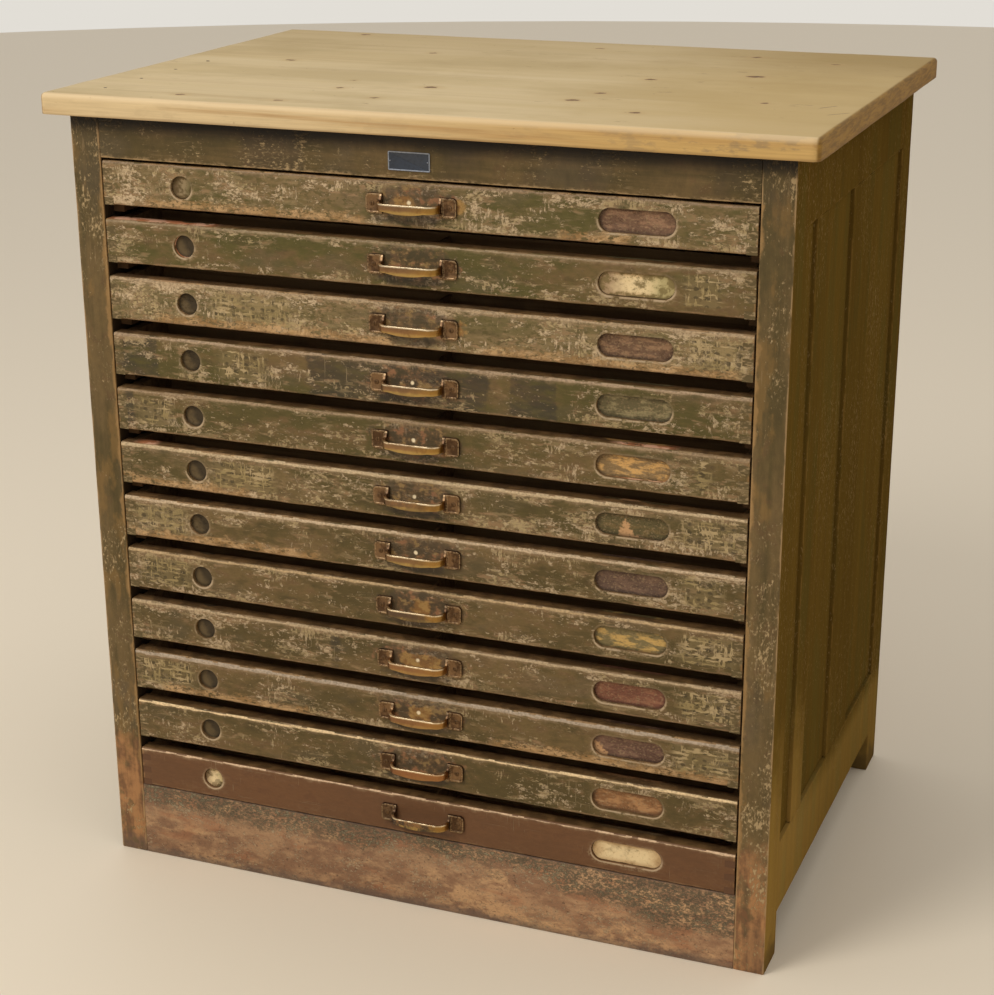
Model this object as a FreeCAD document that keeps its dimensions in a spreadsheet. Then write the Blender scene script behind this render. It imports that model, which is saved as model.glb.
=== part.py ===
import FreeCAD, Part
import math
import os
import Sketcher

# A type case cabinet: a pine carcass of posts, rails and thin panels, with twelve shallow
# type cases that slide out to the front on wooden runners.
#
# Frame: +X to the right as one faces the cases, +Y to the back, +Z up, millimetres.
# The origin is the middle of the floor under the whole cabinet, its pulls included.

CASE_COUNT = 12
FINGER_COUNT = 3
# Compartments in each row of a case, from the front row to the back row.
ROW_COMPARTMENTS = (2, 2, 2, 3, 3, 4)
BACK_BOARD_COUNT = 5

SIZES = (
    # carcass
    ("carcass_width", 855),
    ("carcass_depth", 611),
    ("post_width", 37),
    ("post_depth", 52),
    ("front_rail_height", 50),
    ("front_rail_thickness", 24),
    ("plinth_height", 97),
    ("plinth_thickness", 22),
    ("side_rail_thickness", 26),
    ("side_top_rail_height", 82),
    ("side_bottom_rail_height", 92),
    ("side_bottom_rail_rise", 55),
    ("side_panel_thickness", 8),
    ("side_panel_recess", 5),
    ("side_panel_tongue", 7),
    ("narrow_muntin_place", 102),
    ("narrow_muntin_width", 50),
    ("wide_muntin_place", 285),
    ("wide_muntin_width", 108),
    ("back_rail_height", 80),
    ("back_rail_thickness", 22),
    ("back_board_thickness", 12),
    ("back_board_tongue", 6),
    ("back_board_rise", 45),
    # joinery
    ("tenon_thickness", 8),
    ("tenon_length", 22),
    ("tenon_shoulder", 10),
    # top board
    ("top_thickness", 24),
    ("top_side_overhang", 26.5),
    ("top_front_overhang", 21.5),
    ("top_corner_radius", 9),
    ("top_edge_radius", 6),
    # cases
    ("case_pitch", 68),
    ("case_front_height", 51),
    ("case_front_thickness", 18),
    ("case_front_chamfer", 1.5),
    ("case_side_height", 47),
    ("case_side_thickness", 12),
    ("case_back_thickness", 12),
    ("case_bottom_thickness", 6),
    ("case_bottom_rebate", 6),
    ("case_side_gap", 2),
    ("case_plinth_gap", 1),
    ("case_rail_gap", 3),
    ("case_back_gap", 14),
    ("finger_height", 8.5),
    ("long_divider_thickness", 5),
    ("long_divider_height", 36),
    ("short_divider_thickness", 3.5),
    ("short_divider_height", 32),
    # runners
    ("runner_width", 14),
    ("runner_height", 12),
    ("runner_clearance", 0.3),
    # recesses of a case front
    ("index_radius", 13.25),
    ("index_depth", 5),
    ("index_inset", 101.6),
    ("label_length", 86),
    ("label_height", 26.5),
    ("label_depth", 4.5),
    ("label_inset", 130.5),
    # pull
    ("pull_length", 108),
    ("pull_projection", 22),
    ("pull_foot_width", 17),
    ("pull_foot_height", 23),
    ("pull_strap_thickness", 3),
    ("pull_strap_height", 8.5),
    ("pull_strap_drop", 0.5),
    ("pull_strap_belly", 2.5),
    ("pull_neck_flare", 7),
    ("pull_bend_radius", 14),
)

doc = FreeCAD.newDocument("TypeCaseCabinet")
sheet = doc.addObject("Spreadsheet::Sheet", "Sizes")
for row, (alias, value) in enumerate(SIZES, start=1):
    sheet.set(f"A{row}", alias.replace("_", " "))
    sheet.set(f"B{row}", str(value))
    sheet.setAlias(f"B{row}", alias)
doc.recompute()


def size(alias):
    """The expression that reads one driving dimension."""
    return f"Sizes.{alias}"


def total(*terms):
    """An expression that adds its terms."""
    return "(" + " + ".join(str(term) for term in terms) + ")"


def less(first, *rest):
    """An expression that takes the rest from the first term."""
    return "(" + " - ".join([str(first)] + [str(term) for term in rest]) + ")"


def times(*factors):
    """An expression that multiplies its factors."""
    return "(" + " * ".join(str(factor) for factor in factors) + ")"


def half(term):
    """An expression for one half of a term."""
    return f"({term} / 2)"


def minus(term):
    """An expression for a term with its sign turned."""
    return f"(0 - {term})"


# Planes of the carcass. The left side mirrors the right side, so only right ones are named.
RIGHT = half(size("carcass_width"))
POST_INSIDE = less(RIGHT, size("post_width"))
FRONT = half(less(size("pull_projection"), size("carcass_depth")))
FRONT_POST_BACK = total(FRONT, size("post_depth"))
BACK = total(FRONT, size("carcass_depth"))
BACK_POST_FRONT = less(BACK, size("post_depth"))
BACK_BOARD_FACE = less(BACK, size("back_board_thickness"))
BACK_RAIL_FACE = less(BACK_BOARD_FACE, size("back_rail_thickness"))

# Levels of the carcass and of the lowest case.
CASE_LOW = total(size("plinth_height"), size("case_plinth_gap"))
CASES_TOP = total(CASE_LOW, times(CASE_COUNT - 1, size("case_pitch")), size("case_front_height"))
RAIL_LOW = total(CASES_TOP, size("case_rail_gap"))
UNDER_TOP = total(RAIL_LOW, size("front_rail_height"))
SIDE_TOP_RAIL_LOW = less(UNDER_TOP, size("side_top_rail_height"))
SIDE_BOTTOM_RAIL_LOW = size("side_bottom_rail_rise")
SIDE_BOTTOM_RAIL_HIGH = total(SIDE_BOTTOM_RAIL_LOW, size("side_bottom_rail_height"))

# Planes of a case.
CASE_RIGHT = less(POST_INSIDE, size("case_side_gap"))
CASE_SIDE_INSIDE = less(CASE_RIGHT, size("case_side_thickness"))
CASE_FRONT_BACK = total(FRONT, size("case_front_thickness"))
CASE_BACK = less(BACK_RAIL_FACE, size("case_back_gap"))
CASE_BACK_FACE = less(CASE_BACK, size("case_back_thickness"))
CASE_SIDE_TOP = total(CASE_LOW, size("case_side_height"))
CASE_FLOOR = total(CASE_LOW, size("case_bottom_thickness"))
CASE_MIDDLE = total(CASE_LOW, half(size("case_front_height")))


def block(name, low, high):
    """A squared piece between two corners, each three expressions."""
    piece = doc.addObject("Part::Box", name)
    for axis, side, start, end in zip("xyz", ("Length", "Width", "Height"), low, high):
        piece.setExpression(f"Placement.Base.{axis}", start)
        piece.setExpression(side, less(end, start))
    return piece


def fused(name, pieces):
    piece = doc.addObject("Part::MultiFuse", name)
    piece.Shapes = pieces
    piece.Refine = True
    return piece


def cut(name, base, tools):
    """A piece with every tool taken out of it."""
    piece = doc.addObject("Part::Cut", name)
    piece.Base = base
    piece.Tool = tools[0] if len(tools) == 1 else grouped(name + "_tools", tools)
    return piece


def grouped(name, pieces):
    """Separate solids kept under one name."""
    piece = doc.addObject("Part::Compound", name)
    piece.Links = pieces
    return piece


def mirrored(name, source):
    """The same piece on the left side."""
    piece = doc.addObject("Part::Mirroring", name)
    piece.Source = source
    piece.Base = FreeCAD.Vector(0, 0, 0)
    piece.Normal = FreeCAD.Vector(1, 0, 0)
    return piece


def eased(name, base, chosen, kind="Part::Fillet"):
    """A piece with its edges eased: chosen tells from an edge the size it gets, or None."""
    doc.recompute()
    edges = []
    for index, edge in enumerate(base.Shape.Edges, start=1):
        reach = chosen(edge)
        if reach:
            edges.append((index, reach, reach))
    piece = doc.addObject(kind, name)
    piece.Base = base
    piece.Edges = edges
    return piece


def value_of(expression):
    """The present value of an expression, for the first shape of a sketch."""
    return float(sheet.evalExpression(str(expression)))


def outline(name, points, bellies=()):
    """A closed sketch in XY, its points listed anticlockwise as pairs of expressions.

    bellies pairs the number of a side with the radius of the arc by which it bows out.
    """
    sketch = doc.addObject("Sketcher::SketchObject", name)
    places = [FreeCAD.Vector(value_of(across), value_of(along), 0) for across, along in points]
    radii = dict(bellies)
    for side, start in enumerate(places):
        end = places[(side + 1) % len(places)]
        if side in radii:
            radius = value_of(radii[side])
            chord = end - start
            outward = FreeCAD.Vector(chord.y, -chord.x, 0).normalize()
            rise = radius - math.sqrt(radius ** 2 - (chord.Length / 2) ** 2)
            sketch.addGeometry(Part.Arc(start, (start + end) / 2 + outward * rise, end), False)
        else:
            sketch.addGeometry(Part.LineSegment(start, end), False)
    for side, (across, along) in enumerate(points):
        after = (side + 1) % len(points)
        sketch.addConstraint(Sketcher.Constraint("Coincident", side, 2, after, 1))
        for kind, place in (("DistanceX", across), ("DistanceY", along)):
            number = sketch.addConstraint(
                Sketcher.Constraint(kind, -1, 1, side, 1, value_of(place)))
            sketch.setExpression(f"Constraints[{number}]", place)
    for side, radius in radii.items():
        number = sketch.addConstraint(Sketcher.Constraint("Radius", side, value_of(radius)))
        sketch.setExpression(f"Constraints[{number}]", radius)
    return sketch


def extruded(name, sketch, direction, length):
    """A solid drawn out from a closed sketch."""
    piece = doc.addObject("Part::Extrusion", name)
    piece.Base = sketch
    piece.DirMode = "Custom"
    piece.Dir = direction
    piece.Solid = True
    piece.setExpression("LengthFwd", length)
    return piece


# ---------------------------------------------------------------- side frame, right-hand side

def right_wall(name, front, back, low, high, outside=RIGHT, thickness=size("side_rail_thickness")):
    """An upright piece of the right side frame."""
    return block(name, (less(outside, thickness), front, low), (outside, back, high))


def side_tenon(name, low, high, front, back):
    """A tenon in the middle of the side rails' thickness."""
    inside = less(RIGHT, half(total(size("side_rail_thickness"), size("tenon_thickness"))))
    return block(name, (inside, front, low), (total(inside, size("tenon_thickness")), back, high))


TONGUE = size("side_panel_tongue")
NARROW_MUNTIN_FRONT = total(FRONT, size("narrow_muntin_place"))
NARROW_MUNTIN_BACK = total(NARROW_MUNTIN_FRONT, size("narrow_muntin_width"))
WIDE_MUNTIN_FRONT = total(FRONT, size("wide_muntin_place"))
WIDE_MUNTIN_BACK = total(WIDE_MUNTIN_FRONT, size("wide_muntin_width"))

panels = []
for number, (front, back) in enumerate(((FRONT_POST_BACK, NARROW_MUNTIN_FRONT),
                                        (NARROW_MUNTIN_BACK, WIDE_MUNTIN_FRONT),
                                        (WIDE_MUNTIN_BACK, BACK_POST_FRONT)), start=1):
    panels.append(right_wall(f"side_panel_{number}", less(front, TONGUE), total(back, TONGUE),
                             less(SIDE_BOTTOM_RAIL_HIGH, TONGUE), total(SIDE_TOP_RAIL_LOW, TONGUE),
                             less(RIGHT, size("side_panel_recess")), size("side_panel_thickness")))

muntin_blanks = []
muntin_tenons = []
for name, front, back, thickness in (
        ("narrow_muntin", NARROW_MUNTIN_FRONT, NARROW_MUNTIN_BACK, size("side_rail_thickness")),
        ("wide_muntin", WIDE_MUNTIN_FRONT, WIDE_MUNTIN_BACK, size("post_width"))):
    blank = right_wall(name + "_blank", front, back, SIDE_BOTTOM_RAIL_HIGH, SIDE_TOP_RAIL_LOW,
                       thickness=thickness)
    tenon = side_tenon(name + "_tenon",
                       less(SIDE_BOTTOM_RAIL_HIGH, size("tenon_length")),
                       total(SIDE_TOP_RAIL_LOW, size("tenon_length")),
                       total(front, size("tenon_shoulder")), less(back, size("tenon_shoulder")))
    muntin_tenons.append(tenon)
    muntin_blanks.append(cut(name, fused(name + "_with_tenons", [blank, tenon]), panels))

side_rails = {}
side_rail_tenons = []
for name, low, high in (("side_top_rail", SIDE_TOP_RAIL_LOW, UNDER_TOP),
                        ("side_bottom_rail", SIDE_BOTTOM_RAIL_LOW, SIDE_BOTTOM_RAIL_HIGH)):
    blank = right_wall(name + "_blank", FRONT_POST_BACK, BACK_POST_FRONT, low, high)
    tenon = side_tenon(name + "_tenon",
                       total(low, size("tenon_shoulder")), less(high, size("tenon_shoulder")),
                       less(FRONT_POST_BACK, size("tenon_length")),
                       total(BACK_POST_FRONT, size("tenon_length")))
    side_rail_tenons.append(tenon)
    side_rails[name] = cut(name + "_right", fused(name + "_with_tenons", [blank, tenon]),
                           panels + muntin_tenons)

side_panels_right = grouped("side_panels_right", panels)
side_muntins_right = grouped("side_muntins_right", muntin_blanks)

# ------------------------------------------------------- front and back rails, from post to post


def cross_rail(name, front, back, low, high):
    """A rail between the left and right posts, with its two tenons."""
    middle = half(total(front, back))
    reach = total(POST_INSIDE, size("tenon_length"))
    blank = block(name + "_blank", (minus(POST_INSIDE), front, low), (POST_INSIDE, back, high))
    tenon = block(name + "_tenons",
                  (minus(reach), less(middle, half(size("tenon_thickness"))),
                   total(low, size("tenon_shoulder"))),
                  (reach, total(middle, half(size("tenon_thickness"))),
                   less(high, size("tenon_shoulder"))))
    return fused(name, [blank, tenon]), tenon


front_top_rail, front_top_tenons = cross_rail(
    "front_top_rail", FRONT, total(FRONT, size("front_rail_thickness")), RAIL_LOW, UNDER_TOP)
plinth_board, plinth_tenons = cross_rail(
    "plinth_board", FRONT, total(FRONT, size("plinth_thickness")), "0", size("plinth_height"))
back_top_rail, back_top_tenons = cross_rail(
    "back_top_rail", BACK_RAIL_FACE, BACK_BOARD_FACE,
    less(UNDER_TOP, size("back_rail_height")), UNDER_TOP)
back_bottom_rail, back_bottom_tenons = cross_rail(
    "back_bottom_rail", BACK_RAIL_FACE, BACK_BOARD_FACE, SIDE_BOTTOM_RAIL_LOW,
    total(SIDE_BOTTOM_RAIL_LOW, size("back_rail_height")))

# --------------------------------------------------------------------------------- corner posts

front_post_right = cut(
    "front_post_right",
    block("front_post_blank", (POST_INSIDE, FRONT, "0"), (RIGHT, FRONT_POST_BACK, UNDER_TOP)),
    side_rail_tenons + [front_top_tenons, plinth_tenons, panels[0]])
back_post_right = cut(
    "back_post_right",
    block("back_post_blank", (POST_INSIDE, BACK_POST_FRONT, "0"), (RIGHT, BACK, UNDER_TOP)),
    side_rail_tenons + [back_top_tenons, back_bottom_tenons, panels[-1]])

# ---------------------------------------------------------------- back of tongued upright boards

board_width = f"({times(2, POST_INSIDE)} / {BACK_BOARD_COUNT})"
board_tongues = []
board_blanks = []
for number in range(BACK_BOARD_COUNT):
    left = less(times(number, board_width), POST_INSIDE)
    right = total(left, board_width)
    board_blanks.append(block(f"back_board_{number + 1}_blank",
                              (left, BACK_BOARD_FACE, size("back_board_rise")),
                              (right, BACK, UNDER_TOP)))
    if number < BACK_BOARD_COUNT - 1:
        third = f"({size('back_board_thickness')} / 3)"
        board_tongues.append(block(f"back_board_{number + 1}_tongue",
                                   (right, total(BACK_BOARD_FACE, third), size("back_board_rise")),
                                   (total(right, size("back_board_tongue")), less(BACK, third),
                                    UNDER_TOP)))
boards = []
for number, blank in enumerate(board_blanks):
    board = blank
    if number < len(board_tongues):
        board = fused(f"back_board_{number + 1}_tongued", [board, board_tongues[number]])
    if number > 0:
        board = cut(f"back_board_{number + 1}", board, [board_tongues[number - 1]])
    boards.append(board)
back_boards = grouped("back_boards", boards)

# ------------------------------------------------------------------------------------- top board

top_right = total(RIGHT, size("top_side_overhang"))
top_front = less(FRONT, size("top_front_overhang"))
top_outline = outline("top_outline", ((minus(top_right), top_front), (top_right, top_front),
                                      (top_right, BACK), (minus(top_right), BACK)))
top_blank = extruded("top_blank", top_outline, FreeCAD.Vector(0, 0, 1), size("top_thickness"))
top_blank.setExpression("Placement.Base.z", UNDER_TOP)


def top_corner(edge):
    """The upright edges at the two front corners."""
    upright = abs(edge.BoundBox.ZLength - value_of(size("top_thickness"))) < 0.001
    if upright and edge.BoundBox.YMax < 0:
        return value_of(size("top_corner_radius"))
    return None


def top_arris(edge):
    """The upper edges along the front and both ends."""
    box = edge.BoundBox
    upper = box.ZMin > value_of(UNDER_TOP) + value_of(size("top_thickness")) - 0.001
    if upper and box.YMin < value_of(BACK) - 0.001:
        return value_of(size("top_edge_radius"))
    return None


top_board = eased("top_board", eased("top_with_corners", top_blank, top_corner), top_arris)

# ------------------------------------------------------------------------------- right runners

runners = []
for level in range(CASE_COUNT):
    seat = less(total(CASE_LOW, times(level, size("case_pitch"))), size("runner_clearance"))
    runners.append(block(f"runner_{level + 1}",
                         (less(POST_INSIDE, size("runner_width")),
                          total(FRONT, size("plinth_thickness")),
                          less(seat, size("runner_height"))),
                         (POST_INSIDE, BACK_RAIL_FACE, seat)))
runners_right = grouped("runners_right", runners)

# ------------------------------------------- the lowest case, from which all the cases are taken

# The fingers of a side pass through the front board. The back board lies between the sides.
fingers = []
for number in range(FINGER_COUNT):
    low = total(CASE_LOW, times(2 * number, size("finger_height")))
    fingers.append(block(f"finger_{number + 1}", (CASE_SIDE_INSIDE, FRONT, low),
                         (CASE_RIGHT, CASE_FRONT_BACK, total(low, size("finger_height")))))
fingers_left = [mirrored(f"left_{piece.Name}", piece) for piece in fingers]

case_bottom_edge = total(CASE_SIDE_INSIDE, size("case_bottom_rebate"))
case_bottom = block("case_bottom", (minus(case_bottom_edge), CASE_FRONT_BACK, CASE_LOW),
                    (case_bottom_edge, CASE_BACK, CASE_FLOOR))
case_side_blank = block("case_side_blank", (CASE_SIDE_INSIDE, CASE_FRONT_BACK, CASE_LOW),
                        (CASE_RIGHT, CASE_BACK, CASE_SIDE_TOP))
case_side_right = cut("case_side_right",
                      fused("case_side_fingered", [case_side_blank] + fingers), [case_bottom])
case_back = block("case_back", (minus(CASE_SIDE_INSIDE), CASE_BACK_FACE, CASE_FLOOR),
                  (CASE_SIDE_INSIDE, CASE_BACK, CASE_SIDE_TOP))

# Long dividers run from side to side and part the rows. Short ones part a row.
dividers = []
row_count = len(ROW_COMPARTMENTS)
row_pitch = f"({less(CASE_BACK_FACE, CASE_FRONT_BACK)} / {row_count})"
half_long = half(size("long_divider_thickness"))
half_short = half(size("short_divider_thickness"))
for row, compartments in enumerate(ROW_COMPARTMENTS):
    row_front = total(CASE_FRONT_BACK, times(row, row_pitch))
    row_back = total(CASE_FRONT_BACK, times(row + 1, row_pitch))
    front = CASE_FRONT_BACK
    if row > 0:
        front = total(row_front, half_long)
        dividers.append(block(f"long_divider_{row}",
                              (minus(CASE_SIDE_INSIDE), less(row_front, half_long), CASE_FLOOR),
                              (CASE_SIDE_INSIDE, front,
                               total(CASE_FLOOR, size("long_divider_height")))))
    back = CASE_BACK_FACE if row == row_count - 1 else less(row_back, half_long)
    for number in range(1, compartments):
        middle = f"({CASE_SIDE_INSIDE} * {2 * number - compartments} / {compartments})"
        dividers.append(block(f"short_divider_{row + 1}_{number}",
                              (less(middle, half_short), front, CASE_FLOOR),
                              (total(middle, half_short), back,
                               total(CASE_FLOOR, size("short_divider_height")))))
case_tray = grouped("case_tray", [case_bottom, case_side_right,
                                  mirrored("case_side_left", case_side_right),
                                  case_back] + dividers)

# The front board, with its two recesses.
def front_arris(edge):
    """The upper edge of the front board's face."""
    box = edge.BoundBox
    if box.YMax < value_of(FRONT) + 0.001 and box.ZMin > value_of(CASE_MIDDLE):
        return value_of(size("case_front_chamfer"))
    return None


case_front_blank = eased(
    "case_front_eased",
    block("case_front_blank", (minus(CASE_RIGHT), FRONT, CASE_LOW),
          (CASE_RIGHT, CASE_FRONT_BACK, total(CASE_LOW, size("case_front_height")))),
    front_arris, "Part::Chamfer")


def recess(name, across, radius, depth):
    """A round cutter that enters the front board from its face."""
    piece = doc.addObject("Part::Cylinder", name)
    piece.Placement.Rotation = FreeCAD.Rotation(FreeCAD.Vector(1, 0, 0), -90)
    piece.setExpression("Placement.Base.x", across)
    piece.setExpression("Placement.Base.y", FRONT)
    piece.setExpression("Placement.Base.z", CASE_MIDDLE)
    piece.setExpression("Radius", radius)
    piece.setExpression("Height", depth)
    return piece


index_recess = recess("index_recess", less(size("index_inset"), CASE_RIGHT),
                      size("index_radius"), size("index_depth"))
label_middle = less(CASE_RIGHT, size("label_inset"))
label_radius = half(size("label_height"))
label_straight = less(half(size("label_length")), label_radius)
label_low = less(label_middle, label_straight)
label_high = total(label_middle, label_straight)
label_recess = fused("label_recess", [
    recess("label_recess_left_end", label_low, label_radius, size("label_depth")),
    recess("label_recess_right_end", label_high, label_radius, size("label_depth")),
    block("label_recess_middle",
          (label_low, FRONT, less(CASE_MIDDLE, label_radius)),
          (label_high, total(FRONT, size("label_depth")), total(CASE_MIDDLE, label_radius)))])
case_front = cut("case_front", case_front_blank,
                 fingers + fingers_left + [index_recess, label_recess])

# The pull is a strap bent forward between two feet. Its plan gives the bends, and its front
# view gives the tall feet, the narrow strap and the strap's belly.
pull_half = half(size("pull_length"))
pull_neck = less(pull_half, size("pull_foot_width"))
pull_inner = less(pull_neck, size("pull_strap_thickness"))
strap = size("pull_strap_thickness")
reach = size("pull_projection")
inner_reach = less(reach, strap)
pull_plan = outline("pull_plan", (
    (minus(pull_half), minus(strap)), (minus(pull_neck), minus(strap)),
    (minus(pull_neck), minus(reach)), (pull_neck, minus(reach)),
    (pull_neck, minus(strap)), (pull_half, minus(strap)),
    (pull_half, "0"), (pull_inner, "0"),
    (pull_inner, minus(inner_reach)), (minus(pull_inner), minus(inner_reach)),
    (minus(pull_inner), "0"), (minus(pull_half), "0")))
pull_plan.setExpression("Placement.Base.z", minus(size("pull_foot_height")))
pull_bar = extruded("pull_bar", pull_plan, FreeCAD.Vector(0, 0, 1),
                    times(2, size("pull_foot_height")))


def pull_bend(edge):
    """The upright edges at the two front bends, outside and inside."""
    box = edge.BoundBox
    if box.ZLength < 0.001 or box.XLength > 0.001 or box.YLength > 0.001:
        return None
    if abs(box.YMin + value_of(reach)) < 0.001:
        return value_of(size("pull_bend_radius"))
    if abs(box.YMin + value_of(inner_reach)) < 0.001:
        return value_of(less(size("pull_bend_radius"), strap))
    return None


pull_bent = eased("pull_bent", pull_bar, pull_bend)
foot_high = half(size("pull_foot_height"))
strap_high = less(half(size("pull_strap_height")), size("pull_strap_drop"))
strap_low = less(strap_high, size("pull_strap_height"))
strap_end = less(pull_neck, half(size("pull_neck_flare")))
foot_end = total(pull_neck, half(size("pull_neck_flare")))
belly = size("pull_strap_belly")
belly_radius = f"({strap_end} * {strap_end} / (2 * {belly}) + {belly} / 2)"
pull_view = outline("pull_view", (
    (minus(pull_half), minus(foot_high)), (minus(foot_end), minus(foot_high)),
    (minus(strap_end), strap_low), (strap_end, strap_low),
    (foot_end, minus(foot_high)), (pull_half, minus(foot_high)),
    (pull_half, foot_high), (foot_end, foot_high),
    (strap_end, strap_high), (minus(strap_end), strap_high),
    (minus(foot_end), foot_high), (minus(pull_half), foot_high)), bellies=((2, belly_radius),))
pull_view.Placement.Rotation = FreeCAD.Rotation(FreeCAD.Vector(1, 0, 0), 90)
pull_slab = extruded("pull_slab", pull_view, FreeCAD.Vector(0, -1, 0), reach)
case_pull = doc.addObject("Part::MultiCommon", "case_pull")
case_pull.Shapes = [pull_bent, pull_slab]
case_pull.setExpression("Placement.Base.y", FRONT)
case_pull.setExpression("Placement.Base.z", CASE_MIDDLE)

# ------------------------------------------------------------------------- the named sub-parts

nodes = [top_board, front_top_rail, plinth_board, back_top_rail, back_bottom_rail, back_boards]
for piece, name in ((front_post_right, "front_post"), (back_post_right, "back_post"),
                    (side_rails["side_top_rail"], "side_top_rail"),
                    (side_rails["side_bottom_rail"], "side_bottom_rail"),
                    (side_muntins_right, "side_muntins"), (side_panels_right, "side_panels"),
                    (runners_right, "runners")):
    nodes += [piece, mirrored(name + "_left", piece)]

# Case 01 is the highest one.
for number in range(1, CASE_COUNT + 1):
    for master, ending in ((case_front, "front"), (case_tray, "tray"), (case_pull, "pull")):
        node = grouped(f"case_{number:02d}_{ending}", [master])
        node.setExpression("Placement.Base.z", times(CASE_COUNT - number, size("case_pitch")))
        nodes.append(node)

doc.recompute()

for item in doc.Objects:
    if "Invalid" in item.State or "Error" in item.State:
        raise RuntimeError(f"{item.Name} failed: {item.State}")
for node in nodes:
    if node.Shape.isNull() or not node.Shape.isValid() or not node.Shape.Solids:
        raise RuntimeError(f"{node.Name} has no valid solid")

os.makedirs("parts", exist_ok=True)
for node in nodes:
    node.Label = node.Name
    node.Shape.exportStep(os.path.join("parts", node.Label + ".step"))
print(len(nodes), "sub-parts,", sum(len(node.Shape.Solids) for node in nodes), "solids")
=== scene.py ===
"""A type case cabinet: a pine carcass in worn olive paint, a scrubbed pine top and twelve
shallow type cases with brass pulls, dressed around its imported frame."""

import math

import bmesh
import bpy
import numpy as np
from bpy.props import FloatProperty, FloatVectorProperty, PointerProperty
from mathutils import Matrix, Vector


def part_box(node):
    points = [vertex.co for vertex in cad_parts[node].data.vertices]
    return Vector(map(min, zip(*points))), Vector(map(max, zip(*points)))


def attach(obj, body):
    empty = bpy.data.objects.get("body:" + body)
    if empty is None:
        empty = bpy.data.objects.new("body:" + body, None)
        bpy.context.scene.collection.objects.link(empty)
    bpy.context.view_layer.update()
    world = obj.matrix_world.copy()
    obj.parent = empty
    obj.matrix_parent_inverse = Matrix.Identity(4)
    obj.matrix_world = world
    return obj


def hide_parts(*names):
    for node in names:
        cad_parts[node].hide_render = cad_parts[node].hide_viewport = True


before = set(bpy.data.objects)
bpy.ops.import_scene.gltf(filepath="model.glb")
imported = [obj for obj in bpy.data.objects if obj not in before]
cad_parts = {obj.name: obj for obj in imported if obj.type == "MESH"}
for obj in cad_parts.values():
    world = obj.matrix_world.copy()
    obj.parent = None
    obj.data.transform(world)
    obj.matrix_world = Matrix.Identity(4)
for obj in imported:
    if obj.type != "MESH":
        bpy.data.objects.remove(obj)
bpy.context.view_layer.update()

bl_info = {
    "name": "Type Case Cabinet",
    "version": (1, 0, 0),
    "blender": (4, 5, 0),
    "location": "View3D > Sidebar > Cabinet",
    "description": "Dresses the frame of a type case cabinet in worn paint, pine and brass",
    "category": "Add Mesh",
}

MM = 0.001
CASES = [f"case_{number:02d}" for number in range(1, 13)]
LOWEST = CASES[-1]
SIDES = {"right": 1, "left": -1}
# The length between the cuts that let a board stray, and the width of its waves.
BOARD_FACET = 20 * MM
BOARD_SPREAD = 50 * MM


def chip(red, green, blue):
    """A paint chip read as display values from 0 to 255, in the linear values that shaders use."""
    return tuple(((value / 255 + 0.055) / 1.055) ** 2.4 for value in (red, green, blue))


# --------------------------------------------------------------------------- settings


def length(name, description, default):
    return FloatProperty(name=name, description=description, default=default,
                         min=0.0, unit="LENGTH", precision=4)


def colour(name, description, default):
    return FloatVectorProperty(name=name, description=description, default=default,
                               subtype="COLOR", size=3, min=0.0, max=1.0)


def amount(name, description, default, high=10.0):
    return FloatProperty(name=name, description=description, default=default,
                         min=0.0, max=high, subtype="FACTOR")


class CabinetSizes(bpy.types.PropertyGroup):
    """Sizes that the frame's boxes don't give."""

    board_arris: length("Board arris", "Rounding of the worn edges of frame boards", 1.3 * MM)
    front_arris: length("Front arris", "Rounding of the handled edges of a case front", 2.6 * MM)
    top_corner: length("Top corner", "Radius of the two front corners of the top", 9 * MM)
    top_arris: length("Top arris", "Rounding of the upper edge of the top", 5 * MM)
    waver: length("Waver", "How far old wood strays from a true plane", 0.5 * MM)
    case_side: length("Case side", "Thickness of a case's side boards", 12 * MM)
    finger: length("Finger", "Height of one finger of the corner joints", 8.5 * MM)
    index_radius: length("Index radius", "Radius of the round recess of a case front", 13.25 * MM)
    index_depth: length("Index depth", "Depth of the round recess", 5 * MM)
    index_inset: length("Index inset", "Round recess to the left end of its front", 101.6 * MM)
    label_length: length("Label length", "Length of the label recess", 86 * MM)
    label_height: length("Label height", "Height of the label recess", 26.5 * MM)
    label_depth: length("Label depth", "Depth of the label recess", 4.5 * MM)
    label_inset: length("Label inset", "Label recess to the right end of its front", 130.5 * MM)
    strap: length("Strap", "Thickness of a pull's strap", 3 * MM)
    strap_height: length("Strap height", "Height of a pull's strap", 8.5 * MM)
    strap_drop: length("Strap drop", "How far the strap hangs below the pull's middle", 0.5 * MM)
    strap_belly: length("Strap belly", "Swell of the strap's lower edge", 2.5 * MM)
    bend: length("Bend", "Outer radius of a pull's bends", 14 * MM)
    foot: length("Foot", "Width of a pull's foot", 17 * MM)
    foot_corner: length("Foot corner", "Rounding of a foot's outer corners", 4.5 * MM)
    screw: length("Screw", "Radius of the round head of a screw", 3.1 * MM)


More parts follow.
